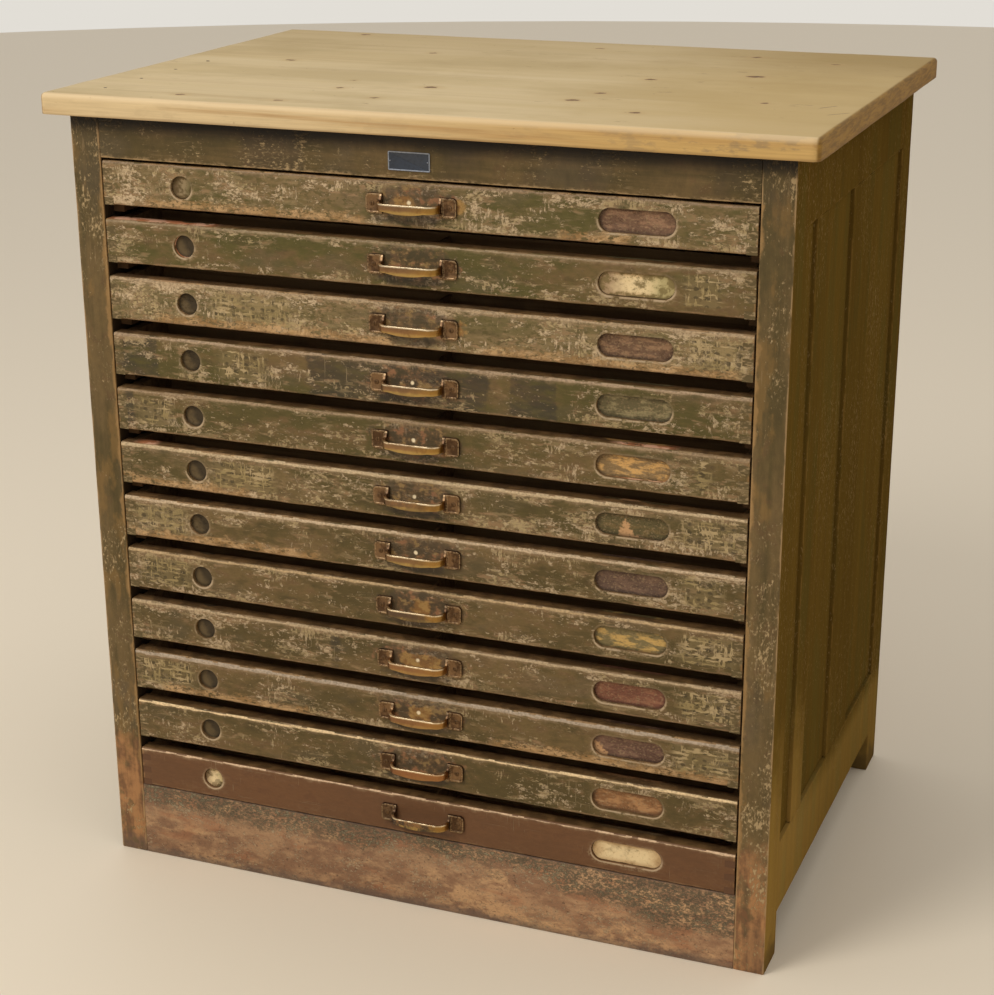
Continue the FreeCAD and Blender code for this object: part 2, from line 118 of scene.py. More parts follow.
class CabinetColours(bpy.types.PropertyGroup):
    """Colours of the paints, woods and metals."""

    olive: colour("Olive", "Paint of the fronts and the face frame", chip(110, 88, 53))
    deep_olive: colour("Deep olive", "The same paint where it is thick", chip(86, 71, 39))
    slate: colour("Slate", "Greyed paint in the rubbed hollows", chip(96, 82, 62))
    # On the right side this golden brown is partly varnish and partly painted warm dim light; the
    # left side takes the front's olive.
    side_olive: colour("Side olive", "Varnished paint of the sides", chip(99, 76, 30))
    undercoat: colour("Undercoat", "Pale coat that shows where paint has chipped",
                      chip(186, 157, 113))
    bared: colour("Bared wood", "Wood that hands have rubbed free of paint", chip(150, 112, 70))
    umber: colour("Umber", "Paint of the lowest case", chip(110, 75, 47))
    scuffed: colour("Scuffed", "Kicked brown of the plinth", chip(160, 124, 90))
    grime: colour("Grime", "Dirt in corners and round the pulls", chip(66, 52, 38))
    pine: colour("Pine", "Scrubbed pine of the top", chip(197, 172, 125))
    pine_line: colour("Pine line", "Darker late wood of the top", chip(168, 136, 90))
    knot: colour("Knot", "Knots and nail stains", chip(112, 78, 44))
    raw_pine: colour("Raw pine", "Unpainted pine inside and at the back", chip(158, 124, 82))
    patina: colour("Patina", "Brown tarnish of the brass", chip(132, 102, 72))
    paper: colour("Paper", "Old paper in the recesses", chip(230, 202, 152))
    plate: colour("Plate", "Dark enamel of the bare plate", chip(44, 50, 60))


class StageSettings(bpy.types.PropertyGroup):
    """Floor, lights and background."""

    floor: colour("Floor", "Plain pale floor", chip(236, 220, 194))
    background: colour("Background", "Plain background", chip(226, 222, 214))
    sky: amount("Sky", "Strength of the even light from all round", 0.62)
    key: amount("Key", "Power of the large lamp at the front left, in watts", 72.0, 500.0)
    lift: amount("Lift", "Power of the soft lamp above, in watts", 6.0, 500.0)


def sizes():
    return bpy.context.scene.cabinet_sizes


def colours():
    return bpy.context.scene.cabinet_colours


# ------------------------------------------------------------------- shader arithmetic


class Wire:
    """One output of a node. Sums with it add Math nodes to its material."""

    def __init__(self, finish, socket):
        self.finish = finish
        self.socket = socket

    def sum(self, operation, *terms):
        return self.finish.node("ShaderNodeMath", {"operation": operation},
                                dict(enumerate(terms)))

    def __add__(self, other):
        return self.sum("ADD", self, other)

    def __radd__(self, other):
        return self.sum("ADD", other, self)

    def __sub__(self, other):
        return self.sum("SUBTRACT", self, other)

    def __rsub__(self, other):
        return self.sum("SUBTRACT", other, self)

    def __mul__(self, other):
        return self.sum("MULTIPLY", self, other)

    def __rmul__(self, other):
        return self.sum("MULTIPLY", other, self)

    def __truediv__(self, other):
        return self.sum("DIVIDE", self, other)

    def __abs__(self):
        return self.sum("ABSOLUTE", self)

    def least(self, other):
        return self.sum("MINIMUM", self, other)

    def most(self, other):
        return self.sum("MAXIMUM", self, other)


class Finish:
    """A procedural material and the means to lay out its nodes."""

    def __init__(self, name, **constants):
        self.surface = None
        self.material = bpy.data.materials.new(name)
        self.material.use_nodes = True
        self.tree = self.material.node_tree
        self.shader = self.tree.nodes["Principled BSDF"]
        for socket, value in constants.items():
            self.shader.inputs[socket.replace("_", " ")].default_value = value
        self.place = self.node("ShaderNodeTexCoord", output="Object")
        self.x, self.y, self.z = self.parts(self.place)

    def node(self, kind, settings=None, sockets=None, output=0):
        """Adds a node: its settings come first, then the values or wires of its sockets."""
        made = self.tree.nodes.new(kind)
        for name, value in (settings or {}).items():
            setattr(made, name, value)
        for name, value in (sockets or {}).items():
            self.feed(made.inputs[name], value)
        return Wire(self, made.outputs[output])

    def feed(self, socket, value):
        if isinstance(value, Wire):
            self.tree.links.new(value.socket, socket)
        elif socket.type == "RGBA":
            socket.default_value = (*value[:3], 1.0)
        else:
            socket.default_value = value

    def parts(self, vector):
        """The three parts of a vector."""
        split = self.node("ShaderNodeSeparateXYZ", sockets={0: vector}).socket.node
        return [Wire(self, output) for output in split.outputs]

    def stretched(self, vector, per_metre):
        return self.node("ShaderNodeVectorMath", {"operation": "MULTIPLY"},
                         {0: vector, 1: per_metre})

    def noise(self, per_metre, detail=2.0, roughness=0.5, distortion=0.0, place=None):
        """Smooth noise about 0.5, with so many spots a metre along X, Y and Z."""
        place = self.stretched(place or self.place, per_metre)
        return self.node("ShaderNodeTexNoise", None,
                         {"Vector": place, "Scale": 1.0, "Detail": detail,
                          "Roughness": roughness, "Distortion": distortion})

    def cells(self, per_metre, output="Distance", **settings):
        """Voronoi cells, with so many a metre along X, Y and Z."""
        return self.node("ShaderNodeTexVoronoi", settings,
                         {"Vector": self.stretched(self.place, per_metre), "Scale": 1.0},
                         output=output)

    def step(self, value, low, high):
        """0 below low and 1 above high, with a smooth rise between them."""
        return self.node("ShaderNodeMapRange", {"interpolation_type": "SMOOTHSTEP"},
                         {"Value": value, "From Min": low, "From Max": high})

    def wave(self, value, pitch):
        """A wave between -1 and 1 whose crests are a pitch apart."""
        return self.node("ShaderNodeMath", {"operation": "COSINE"},
                         {0: value * (2 * math.pi / pitch)})

    def span(self, first, second):
        """The length of a flat vector."""
        flat = self.node("ShaderNodeCombineXYZ", None, {0: first, 1: second})
        return self.node("ShaderNodeVectorMath", {"operation": "LENGTH"}, {0: flat},
                         output="Value")

    def mix(self, share, first, second):
        """The first colour, with the second laid over it where share is 1."""
        return self.node("ShaderNodeMix", {"data_type": "RGBA"},
                         {0: share, 6: first, 7: second}, output=2)

    def lit(self, tint, share):
        """A colour made lighter or darker by a factor."""
        return self.node("ShaderNodeVectorMath", {"operation": "SCALE"},
                         {0: tint, "Scale": share})

    def lay(self, share, tint):
        """Lays a colour over the surface where share is 1."""
        self.surface = self.mix(share, self.surface, tint)

    def shade(self, share):
        """Makes the surface lighter or darker by a factor."""
        self.surface = self.lit(self.surface, share)

    def map(self, name):
        """The two parts of one of the piece's own maps."""
        return self.parts(self.node("ShaderNodeUVMap", {"uv_map": name}))[:2]

    def attribute(self, name, output="Fac"):
        return self.node("ShaderNodeAttribute", {"attribute_name": name}, output=output)

    def relief(self, height, depth):
        """Raises or sinks the surface by up to a depth in metres, in its shading."""
        bump = self.node("ShaderNodeBump", None,
                         {"Height": height, "Strength": 1.0, "Distance": depth})
        self.feed(self.shader.inputs["Normal"], bump)

    def paint(self, roughness=None):
        """Gives the shader the surface as it has become, and returns the material."""
        self.feed(self.shader.inputs["Base Color"], self.surface)
        if roughness is not None:
            self.feed(self.shader.inputs["Roughness"], roughness)
        return self.material


# --------------------------------------------------------------------------- materials


class FrontPaint(Finish):
    """Worn paint of a case front. Each method lays one kind of wear over the last."""

    def __init__(self, name, paints, plain=False):
        super().__init__(name, Specular_IOR_Level=0.2)
        low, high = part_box(LOWEST + "_front")
        self.front = low.y
        self.front_length = high.x - low.x
        self.along, self.across = self.map("near")
        self.along_far, self.across_far = self.map("far")
        self.middle = self.across - (high.z - low.z) / 2
        self.wear = self.attribute("wear")
        self.chipped = 0.05 if plain else 1.0
        self.coat(paints, 0.4 if plain else 0.75)
        self.wear_thin()
        self.flake()
        self.scratch()
        self.paste()
        self.rub_and_light_rims()
        self.soil_and_shade_behind_pull()
        self.rub_edges()
        self.bare_behind()
        self.floor_recesses()
        self.relief(0.6 * self.drift - 0.45 * self.strong - 0.35 * self.streaks
                    - 0.3 * self.scratches - 0.4 * self.rubbed + 0.4 * self.blot,
                    0.0007)
        self.paint(0.46 + 0.18 * self.strong + 0.10 * self.streaks + 0.12 * self.upper)

    def coat(self, paints, contrast):
        """Thick and thin paint, browned and greyed in patches."""
        tint = colours()
        broad = self.noise((6, 6, 20), detail=3)
        self.blot = self.noise((45, 45, 95), detail=4, roughness=0.6)
        self.crowd = self.noise((16, 16, 40), detail=3)
        self.fine = self.noise((330, 330, 430), detail=3, roughness=0.6)
        self.greener = self.step(self.z, 0.40, 0.80) * self.chipped
        thick = self.mix(self.greener, paints[1], chip(86, 77, 38))
        self.surface = self.mix(self.step(0.6 * broad + 0.4 * self.blot, 0.42, 0.58), thick,
                                paints[0])
        self.lay(self.step(self.blot + 0.5 * (broad - 0.5), 0.54, 0.66) * 0.5, paints[2])
        self.lay(self.step(self.noise((12, 12, 30), detail=4), 0.54, 0.66) * 0.28 * self.chipped,
                 tint.slate)
        self.faded = self.wear + 0.9 * (self.blot - 0.5) + 0.9 * (broad - 0.5)
        self.faded = self.step(self.faded, 0.55, 1.15)
        self.lay(self.faded * 0.45, chip(142, 120, 82))
        mottle = self.noise((85, 85, 190), detail=5, roughness=0.72)
        self.shade(1 + contrast * (mottle - 0.5))
        self.dirt = self.noise((26, 26, 60), detail=5, roughness=0.62)
        self.lay(self.step(self.dirt, 0.57, 0.68) * 0.3 * self.chipped, chip(66, 52, 32))
        gloom = self.attribute("dark") + 1.6 * (self.dirt - 0.5) + 1.2 * (self.blot - 0.5)
        shadow = self.step(gloom, 0.55, 1.15)
        self.lay(shadow * 0.66, chip(52, 47, 40))

    def wear_thin(self):
        """Level streaks where the paint has worn thin."""
        ends = 1 - self.step(self.along.least(self.along_far), 0.010, 0.140)
        outer = self.step(abs(self.middle), 0.010, 0.024)
        self.worn = 0.14 * self.wear + 0.040 * ends + 0.06 * outer
        self.drift = self.noise((38, 38, 170), detail=5, roughness=0.68)
        self.streaks = self.step(self.drift + 0.5 * (self.crowd - 0.5) + self.worn, 0.60, 0.74)
        self.streaks = self.streaks * self.chipped
        beige = self.mix(self.step(self.noise((70, 70, 130), detail=3), 0.44, 0.58),
                         chip(150, 126, 88), chip(164, 128, 92))
        self.lay(self.streaks * 0.55, beige)

    def flake(self):
        """Chips that gather in patches, some level and some upright."""
        self.flat = self.noise((165, 165, 310), detail=6, roughness=0.70)
        steep = self.noise((310, 310, 110), detail=6, roughness=0.70)
        choice = self.step(self.noise((24, 24, 24), detail=2), 0.53, 0.60)
        speck = self.flat + (steep - self.flat) * choice
        gather = speck + 0.55 * (self.crowd - 0.5) + 0.30 * (self.blot - 0.5) + 0.5 * self.worn
        self.strong = self.step(gather, 0.592, 0.655) * self.chipped
        islands = self.noise((115, 115, 225), detail=6, roughness=0.70) + 0.5 * (self.blot - 0.5)
        islands = self.step(islands, 0.51, 0.575) * (0.30 + 0.70 * self.faded) * self.chipped
        self.lay(islands * 0.66, self.mix(self.greener, chip(81, 63, 33), chip(79, 71, 33)))
        pale = self.mix(self.step(self.dirt, 0.44, 0.56), chip(203, 176, 139), chip(176, 152, 107))
        self.strong = self.strong * (0.78 + 0.22 * self.faded)
        self.lay(self.strong * 0.88,
                 self.mix(self.step(self.fine, 0.38, 0.54), chip(156, 131, 98), pale))

    def scratch(self):
        """Fine scratches along and across, which gather in patches."""
        scratch = self.step(self.noise((10, 10, 950), detail=2), 0.66, 0.71)
        upright = self.step(self.noise((560, 560, 20), detail=2), 0.66, 0.71)
        self.scratches = scratch.most(upright) * self.step(self.crowd, 0.48, 0.62)
        scored = upright * self.attribute("scored")
        self.lay((self.scratches * 0.4).most(scored * 0.55), chip(164, 142, 106))

    def paste(self):
        """Rows of old paste with darker spaces between them."""
        rows = self.wave(self.across, 0.0052)
        level = self.noise((70, 70, 260), detail=3, roughness=0.6) + 0.05 * rows
        grid = level.most(self.noise((260, 260, 70), detail=3, roughness=0.6) - 0.02)
        band = self.step(abs(self.middle) + 0.006 * (self.blot - 0.5), 0.0180, 0.0150)
        pasted = self.attribute("paste") * band
        lattice = self.mix(self.step(self.blot, 0.42, 0.56), chip(132, 112, 74), chip(94, 80, 50))
        lattice = self.lit(lattice, 0.92 + 0.42 * self.step(self.wear, 0.7, 1.1))
        self.lay(pasted * 0.58, lattice)
        spots = self.wave(self.along, 0.0125) + self.wave(self.across, 0.0092)
        spots = self.step(spots + 3.0 * (self.blot - 0.5), 0.7, 1.3)
        self.lay(pasted * spots * 0.60, chip(64, 54, 34))
        pasted = pasted * self.step(grid + 0.4 * (self.blot - 0.5), 0.53, 0.60)
        self.lay(pasted * 0.74,
                 self.mix(self.step(self.dirt, 0.42, 0.54), chip(190, 163, 118),
                          chip(160, 137, 90)))

    def rub_and_light_rims(self):
        """Worn rims of the two recesses, with a painted highlight on their lower lips."""
        size = sizes()
        radius = size.label_height / 2
        label_side = self.along_far - size.label_inset
        reach = (abs(label_side) - (size.label_length / 2 - radius)).most(0.0)
        label_rim = self.span(reach, self.middle) - radius
        self.index_side = self.along - size.index_inset
        self.index_rim = self.span(self.index_side, self.middle) - size.index_radius
        self.rim = label_rim.least(self.index_rim)
        self.ragged = self.noise((110, 110, 110), detail=3)
        # painted highlight: the lower lips of both rims are painted lit and the upper ones barely
        # so, less over the spans marked on some fronts; the pale line at each rim and the halo
        # round it are worn paint, made stronger on the lower lip where the highlight falls
        lit_lower_lip = self.step(self.middle, 0.006, -0.009) * (1 - 0.7 * self.attribute("unlit_lip"))
        lip = self.step(abs(self.rim - 0.0009), 0.0020, 0.0004) * (0.12 + 0.68 * lit_lower_lip)
        halo = self.step(self.rim + 0.010 * (self.ragged - 0.5), 0.0070, 0.0015)
        halo = halo * self.step(self.fine, 0.44, 0.56)
        self.lay(halo * (0.10 + 0.45 * lit_lower_lip), chip(156, 130, 94))
        self.lay(lip * self.step(self.ragged, 0.36, 0.50), chip(188, 162, 128))

    def soil_and_shade_behind_pull(self):
        """Dirt, bared wood and chips behind the pull, with a painted glint as a bright spot just
        above the strap's middle and a painted shadow below the strap.
        """
        sideways = self.along - self.front_length / 2
        handled = self.span(sideways / 0.058,
                            (self.middle - 0.003) / 0.021) + 1.1 * (self.ragged - 0.5)
        handled = self.step(handled, 1.12, 0.72) * (1 - self.attribute("clean_and_less_shadow"))
        self.patch = self.noise((75, 75, 95), detail=4, roughness=0.6)
        self.lay(handled * 0.62,
                 self.mix(self.step(self.patch, 0.42, 0.56), chip(74, 60, 46), chip(112, 84, 60)))
        self.lay(handled * self.step(self.patch + 0.3 * (self.flat - 0.5), 0.53, 0.60) * 0.8,
                 self.mix(self.step(self.dirt, 0.44, 0.54), chip(150, 104, 70),
                          chip(150, 120, 74)))
        self.lay(handled * self.step(self.flat + 0.3 * (self.patch - 0.5), 0.64, 0.69) * 0.6,
                 chip(196, 164, 124))
        off_line = self.step(abs(self.middle - 0.002), 0.004, 0.015)
        gold = self.step(self.attribute("gilt") + 1.6 * (self.patch - 0.5) - off_line, 0.42, 0.85)
        self.lay(gold * 0.80,
                 self.mix(self.step(self.patch, 0.44, 0.56), chip(146, 102, 54),
                          chip(172, 132, 74)))
        # painted glint: a bright highlight by the middle of the strap, on the fronts marked for it
        glint = self.span(sideways + 0.003, self.middle - 0.0025) + 0.005 * (self.ragged - 0.5)
        glint = self.step(glint, 0.0034, 0.0014)
        self.lay(glint * self.attribute("glint"), chip(250, 226, 182))
        # painted shadow that the strap casts on the front beneath it, weaker on fronts marked free
        # of dirt
        below = self.span((sideways + 0.004) / 0.046, (self.middle + 0.0165) / 0.007)
        below = self.step(below + 0.9 * (self.ragged - 0.5), 1.15, 0.6)
        self.lay(below * (0.62 - 0.2 * self.attribute("clean_and_less_shadow")), chip(38, 32, 27))

    def rub_edges(self):
        """Handled edges: a pale upper arris, and browner lower and end ones."""
        tint = colours()
        self.torn = self.noise((60, 60, 60), detail=4, roughness=0.6)
        self.rubbed = self.across + 0.016 * (self.torn - 0.5) + 0.030 * (self.drift - 0.5)
        self.rubbed = self.step(self.rubbed, 0.0135, 0.0070) * self.attribute("rub")
        self.rubbed = self.rubbed * self.step(self.flat + 0.5 * (self.drift - 0.5), 0.38, 0.48)
        self.lay(self.rubbed * 0.8,
                 self.mix(self.step(self.blot, 0.42, 0.56), chip(156, 118, 72),
                          chip(192, 152, 104)))
        lower = self.step(self.across + 0.006 * (self.torn - 0.5), 0.0034, 0.0012)
        lower = lower * self.step(self.drift, 0.38, 0.52)
        self.lay(lower * (0.45 + 0.3 * self.wear), chip(150, 118, 84))
        end = self.along.least(self.along_far) + 0.006 * (self.torn - 0.5)
        upright_edge = self.step(end, 0.0030, 0.0008)
        self.lay(upright_edge * self.step(self.ragged, 0.42, 0.55) * 0.6, tint.bared)
        width = self.attribute("arris_width")
        spread = self.across_far + 0.012 * (self.torn - 0.5) - 0.0045 * width
        spread = self.step(spread, 0.0040, -0.0010)
        self.lay(spread * 0.50 * self.step(self.flat, 0.36, 0.52), chip(150, 122, 90))
        self.upper = self.across_far + 0.0050 * (self.torn - 0.5) - 0.0030 * width
        self.upper = self.step(self.upper, 0.0016, 0.0)
        arris = self.attribute("arris_colour", "Color")
        self.lay(self.upper * 0.95,
                 self.lit(arris, 0.84 + 0.42 * self.step(self.fine, 0.34, 0.62)))

    def bare_behind(self):
        """Unpainted wood behind the face: the top and the underside, with torn splinters."""
        inner = self.step(self.y + 0.0012 * (self.torn - 0.5), self.front + 0.0012,
                          self.front + 0.0042)
        rubbed_top = self.mix(self.step(self.blot, 0.42, 0.6), chip(88, 64, 38), chip(116, 86, 52))
        splinter = self.attribute("splinter") * self.step(self.torn, 0.34, 0.44)
        rubbed_top = self.mix(splinter, rubbed_top,
                              self.mix(self.step(self.blot, 0.44, 0.52), chip(186, 118, 78),
                                       chip(226, 172, 136)))
        self.lay(inner, rubbed_top)

    def floor_recesses(self):
        """The floors of the long recess and of the round one, darkened towards their walls as
        painted shade, with painted light and shade across the round one.
        """
        recess = self.step(self.rim, 0.0003, -0.0003)
        recess = recess * self.step(self.y, self.front + 0.0006, self.front + 0.0016)
        mottle = self.step(self.noise((38, 38, 120), detail=5, roughness=0.62), 0.47, 0.58)
        label_floor = self.mix(mottle, self.attribute("recess_colour", "Color"),
                               self.attribute("patch_colour", "Color"))
        label_floor = self.mix(self.step(self.fine, 0.54, 0.64) * 0.40, label_floor,
                               chip(164, 136, 98))
        label_floor = self.mix(self.step(self.flat, 0.44, 0.36) * 0.45, label_floor,
                               chip(70, 52, 36))
        tan = abs(self.along - self.attribute("tan")) + 0.7 * (self.middle + 0.012)
        tan = tan + 0.040 * (self.patch - 0.5) + 0.020 * (self.ragged - 0.5)
        tan = self.step(tan, 0.0150, 0.0105) * self.step(self.fine, 0.30, 0.44)
        label_floor = self.mix(tan * 0.85, label_floor, chip(200, 152, 104))
        # painted light and shade across the round floor: lighter towards its lower left, darker
        # towards its upper right
        lit_slant = self.index_side + self.middle * 0.6 + 0.016 * (self.ragged - 0.5)
        index_floor = self.mix(self.step(lit_slant, 0.004, -0.008), chip(62, 50, 32), chip(98, 80, 52))
        floor = self.mix(self.step(self.index_rim, 0.004, 0.003), label_floor, index_floor)
        # painted shade: each floor is darker near its walls
        floor = self.lit(floor, 0.55 + 0.45 * self.step(self.rim, -0.0003, -0.0045))
        self.lay(recess, floor)


def frame_paint(name, grain):
    """Worn olive paint of the face frame. It turns to kicked brown towards the floor."""
    tint = colours()
    f = Finish(name, Specular_IOR_Level=0.22)
    across, across_far = f.map("near")[1], f.map("far")[1]
    upright = grain == "z"
    speck = f.noise((340, 340, 170) if upright else (170, 170, 340), detail=4, roughness=0.66)
    streak = f.noise((110, 110, 9) if upright else (9, 9, 110), detail=4, roughness=0.6)
    crowd = f.noise((15, 15, 15), detail=3)
    blot = f.noise((60, 60, 50), detail=4, roughness=0.62)
    broad = f.noise((7, 7, 5), detail=3)
    f.surface = f.mix(f.step(0.6 * broad + 0.4 * streak, 0.40, 0.58), tint.deep_olive, tint.olive)
    f.lay(f.step(blot + 0.4 * (broad - 0.5), 0.57, 0.67) * 0.4, chip(104, 76, 48))
    f.lay(f.step(f.noise((11, 11, 7), detail=4), 0.54, 0.66) * 0.4, tint.slate)
    shade = 0.58 if upright else 0.51
    f.shade(shade + 0.74 * f.noise((130, 130, 80), detail=5, roughness=0.7))
    if upright:
        f.shade(1 - 0.07 * f.step(f.x, 0.1, -0.1))
        ochre = f.step(f.noise((26, 26, 10), detail=5, roughness=0.62), 0.53, 0.63)
        f.lay(ochre * 0.45, chip(138, 104, 56))

    # kicked brown near the floor, broken by remains of paint
    ragged = f.noise((24, 24, 18), detail=4, roughness=0.6)
    kicked = f.step(f.z + 0.24 * (ragged - 0.5), 0.178, 0.118)
    scuffed = f.mix(f.step(0.5 * blot + 0.5 * streak, 0.40, 0.58), chip(116, 80, 52),
                    chip(170, 121, 76))
    foot = f.step(f.z + 0.03 * (blot - 0.5), 0.030, 0.006) * f.step(f.x, 0.40, 0.20)
    scuffed = f.mix(foot * 0.7, scuffed, chip(92, 78, 68))
    if upright:
        right_foot = f.step(f.x, 0.20, 0.40) * f.step(f.z, 0.085, 0.030)
        scuffed = f.lit(scuffed, 1 + 0.42 * right_foot)
    scuffed = f.mix(f.step(f.noise((90, 90, 60), detail=4), 0.54, 0.64) * 0.6, scuffed,
                    chip(92, 78, 50))
    f.lay(kicked * 0.92, scuffed)

    # chips and scuffs
    gather = speck + 0.70 * (crowd - 0.5) + 0.18 + 0.40 * (blot - 0.5)
    f.lay(f.step(f.noise((13, 13, 8), detail=4), 0.54, 0.66) * 0.45, chip(72, 58, 44))
    if upright:
        low_down = f.step(f.z, 0.42, 0.24) * f.step(f.z, 0.05, 0.12)
        gather = gather + 0.13 * f.step(f.x, 0.400, 0.424) * low_down - 0.045
    else:
        gather = gather - 0.07
    faint = f.step(gather, 0.69, 0.80)
    strong = f.step(gather, 0.77, 0.84)
    f.lay(faint * 0.45, chip(140, 118, 78))
    f.lay(strong * 0.70, tint.undercoat)
    scuff = f.step(f.noise((330, 330, 30) if upright else (30, 30, 330), detail=3), 0.62, 0.69)
    f.lay(scuff * f.step(crowd, 0.46, 0.6) * 0.45, chip(150, 124, 88))

    # arrises: broken bare lines, tan and wide next to the cases
    torn = f.noise((45, 45, 30), detail=4, roughness=0.6)
    broken = f.step(f.noise((40, 40, 26), detail=3), 0.40, 0.55)
    sides = across.least(across_far)
    arris = f.step(sides + 0.006 * (torn - 0.5), 0.0026, 0.0008) * broken
    f.lay(arris * 0.8, f.mix(torn, tint.bared, tint.undercoat))
    if upright:
        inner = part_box("front_post_right")[0]
        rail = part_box("front_top_rail")[0].z
        open_side = f.step(f.z, rail + 0.002, rail - 0.002) * f.step(f.z, 0.09, 0.12)
        inside = abs(abs(f.x) - inner.x)
        rubbed = f.step(inside + 0.022 * (torn - 0.5), 0.0044, 0.0010) * open_side
        f.lay(rubbed * 0.72, f.mix(blot, chip(134, 100, 56), chip(172, 134, 84)))
        behind = f.step(f.y, inner.y + 0.0010, inner.y + 0.0030)
        shaded = f.step(inside, 0.0008, 0.0004) * behind
        f.lay(shaded, chip(50, 37, 22))
    else:
        lower = f.step(across + 0.016 * (torn - 0.5), 0.0050, 0.0010)
        f.lay(lower * f.step(speck, 0.44, 0.56) * 0.6, chip(166, 138, 98))
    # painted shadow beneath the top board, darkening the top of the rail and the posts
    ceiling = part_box("top_board")[0].z
    shadow_under_top = f.step(f.z + 0.006 * (torn - 0.5), ceiling - 0.026, ceiling - 0.006)
    f.lay(shadow_under_top * 0.88, chip(24, 20, 15))
    f.relief(0.6 * streak + 0.4 * blot - 0.45 * strong - 0.2 * faint - 0.3 * arris, 0.0007)
    return f.paint(0.48 + 0.2 * strong + 0.10 * kicked)


def plinth_paint():
    """The plinth: paint kicked away to brown, with green left along its upper edge."""
    tint = colours()
    f = Finish("kicked plinth", Specular_IOR_Level=0.18)
    along, across = f.map("near")
    speck = f.noise((260, 260, 420), detail=4, roughness=0.68)
    cloud = f.noise((42, 42, 85), detail=5, roughness=0.68)
    broad = f.noise((7, 7, 24), detail=3)
    f.surface = f.mix(f.step(0.6 * cloud + 0.4 * broad, 0.42, 0.58), chip(130, 96, 70),
                      tint.scuffed)
    f.lay(f.step(0.5 * cloud + 0.5 * f.noise((9, 9, 34), detail=3), 0.52, 0.62) * 0.7,
          chip(184, 144, 102))
    f.lay(f.step(f.noise((14, 14, 46), detail=4), 0.55, 0.66) * 0.45, chip(150, 98, 66))
    f.shade(1 + 0.20 * f.step(along, 0.30, 0.62))
    rise = across + 0.050 * (f.noise((16, 16, 34), detail=4) - 0.5) + 0.022 * (cloud - 0.5)
    rise = rise + 0.030 * f.step(along, 0.48, 0.72)
    green = f.step(rise, 0.062, 0.084) * f.step(speck, 0.36, 0.56)
    f.lay(green * 0.85, chip(78, 70, 52))
    chips = f.step(speck + 0.34 * f.noise((22, 22, 44)), 0.73, 0.82)
    f.lay(chips * 0.6, f.mix(green, chip(176, 152, 118), chip(152, 138, 106)))
    pits = f.step(f.noise((190, 190, 260), detail=4, roughness=0.6), 0.60, 0.68)
    f.lay(pits * 0.55, chip(70, 52, 38))
    f.shade(0.78 + 0.54 * f.noise((240, 240, 420), detail=4, roughness=0.7))
    foot = f.step(across + 0.020 * (cloud - 0.5), 0.014, 0.002)
    f.lay(foot * 0.55, chip(86, 78, 72))
    f.relief(0.7 * cloud - 0.4 * chips - 0.3 * pits, 0.0009)
    return f.paint(0.56 + 0.16 * chips)


def side_paint(name, shade, glow=0.0):
    """Dark varnished paint of the panelled sides, paler low down where it glows with a painted
    reflection of floor light. On the right side it is a golden brown that is partly varnish and
    partly painted warm dim light; the left side takes the olive of the front.
    """
    tint = colours()
    f = Finish(name, Specular_IOR_Level=0.0)
    along, across = f.map("near")
    along_far, across_far = f.map("far")
    edge = along.least(along_far).least(across.least(across_far))
    streak = f.noise((70, 70, 1.8), detail=4, roughness=0.6)
    cloud = f.noise((22, 22, 4), detail=4, roughness=0.6)
    f.surface = f.mix(f.step(streak, 0.30, 0.70), chip(92, 69, 27), tint.side_olive)
    f.lay(f.step(cloud, 0.48, 0.66) * 0.5, chip(84, 72, 32))
    # the left side takes the front's olive; the right keeps the golden brown of side olive, partly
    # varnish and partly painted warm dim light
    left = f.step(f.x, 0.1, -0.1)
    f.lay(left * 0.8, f.mix(cloud, tint.deep_olive, tint.olive))
    f.shade(shade * (0.86 + 0.28 * f.noise((300, 300, 60), detail=3, roughness=0.6)))
    torn = f.noise((30, 30, 30), detail=4, roughness=0.6)
    # painted glow: floor light reflected low down on the right side, strongest towards the front
    # and along the bottom rail further back; a glow below nought, as on the panels, paints shade
    # there instead, and every side is painted a little lighter towards the front
    low_light = f.step(f.z + 0.14 * (torn - 0.5), 0.34, 0.14)
    forward = f.step(f.y, 0.05, -0.25)
    rail = f.step(f.z, 0.150, 0.115) * (1 - forward)
    glowing = (1 - left) * (low_light * (0.1 + 2.3 * forward) + 1.3 * rail)
    f.shade(1 + glow * glowing + 0.12 * forward)
    f.lay(glowing * max(glow, 0.0) * 0.22, chip(136, 108, 66))
    speck = f.noise((460, 460, 180), detail=3, roughness=0.6)
    chips = f.step(speck + 0.30 * f.noise((9, 9, 6), detail=2), 0.77, 0.82)
    f.lay(chips * 0.5, chip(156, 128, 82))
    scrape = f.step(f.noise((260, 260, 9), detail=3), 0.66, 0.72)
    f.lay(scrape * f.step(cloud, 0.5, 0.6) * 0.45, chip(140, 112, 64))
    arris = f.step(edge + 0.006 * (torn - 0.5), 0.0026, 0.0008)
    f.lay(arris * f.step(torn, 0.40, 0.60) * 0.40, chip(150, 114, 58))
    low_grime = f.step(f.z + 0.10 * (torn - 0.5), 0.045, 0.01)
    f.lay(low_grime * 0.5, tint.grime)
    f.relief(0.7 * streak - 0.4 * chips, 0.0006)
    return f.paint(0.5 + 0.2 * f.step(torn, 0.4, 0.7) + 0.2 * chips)


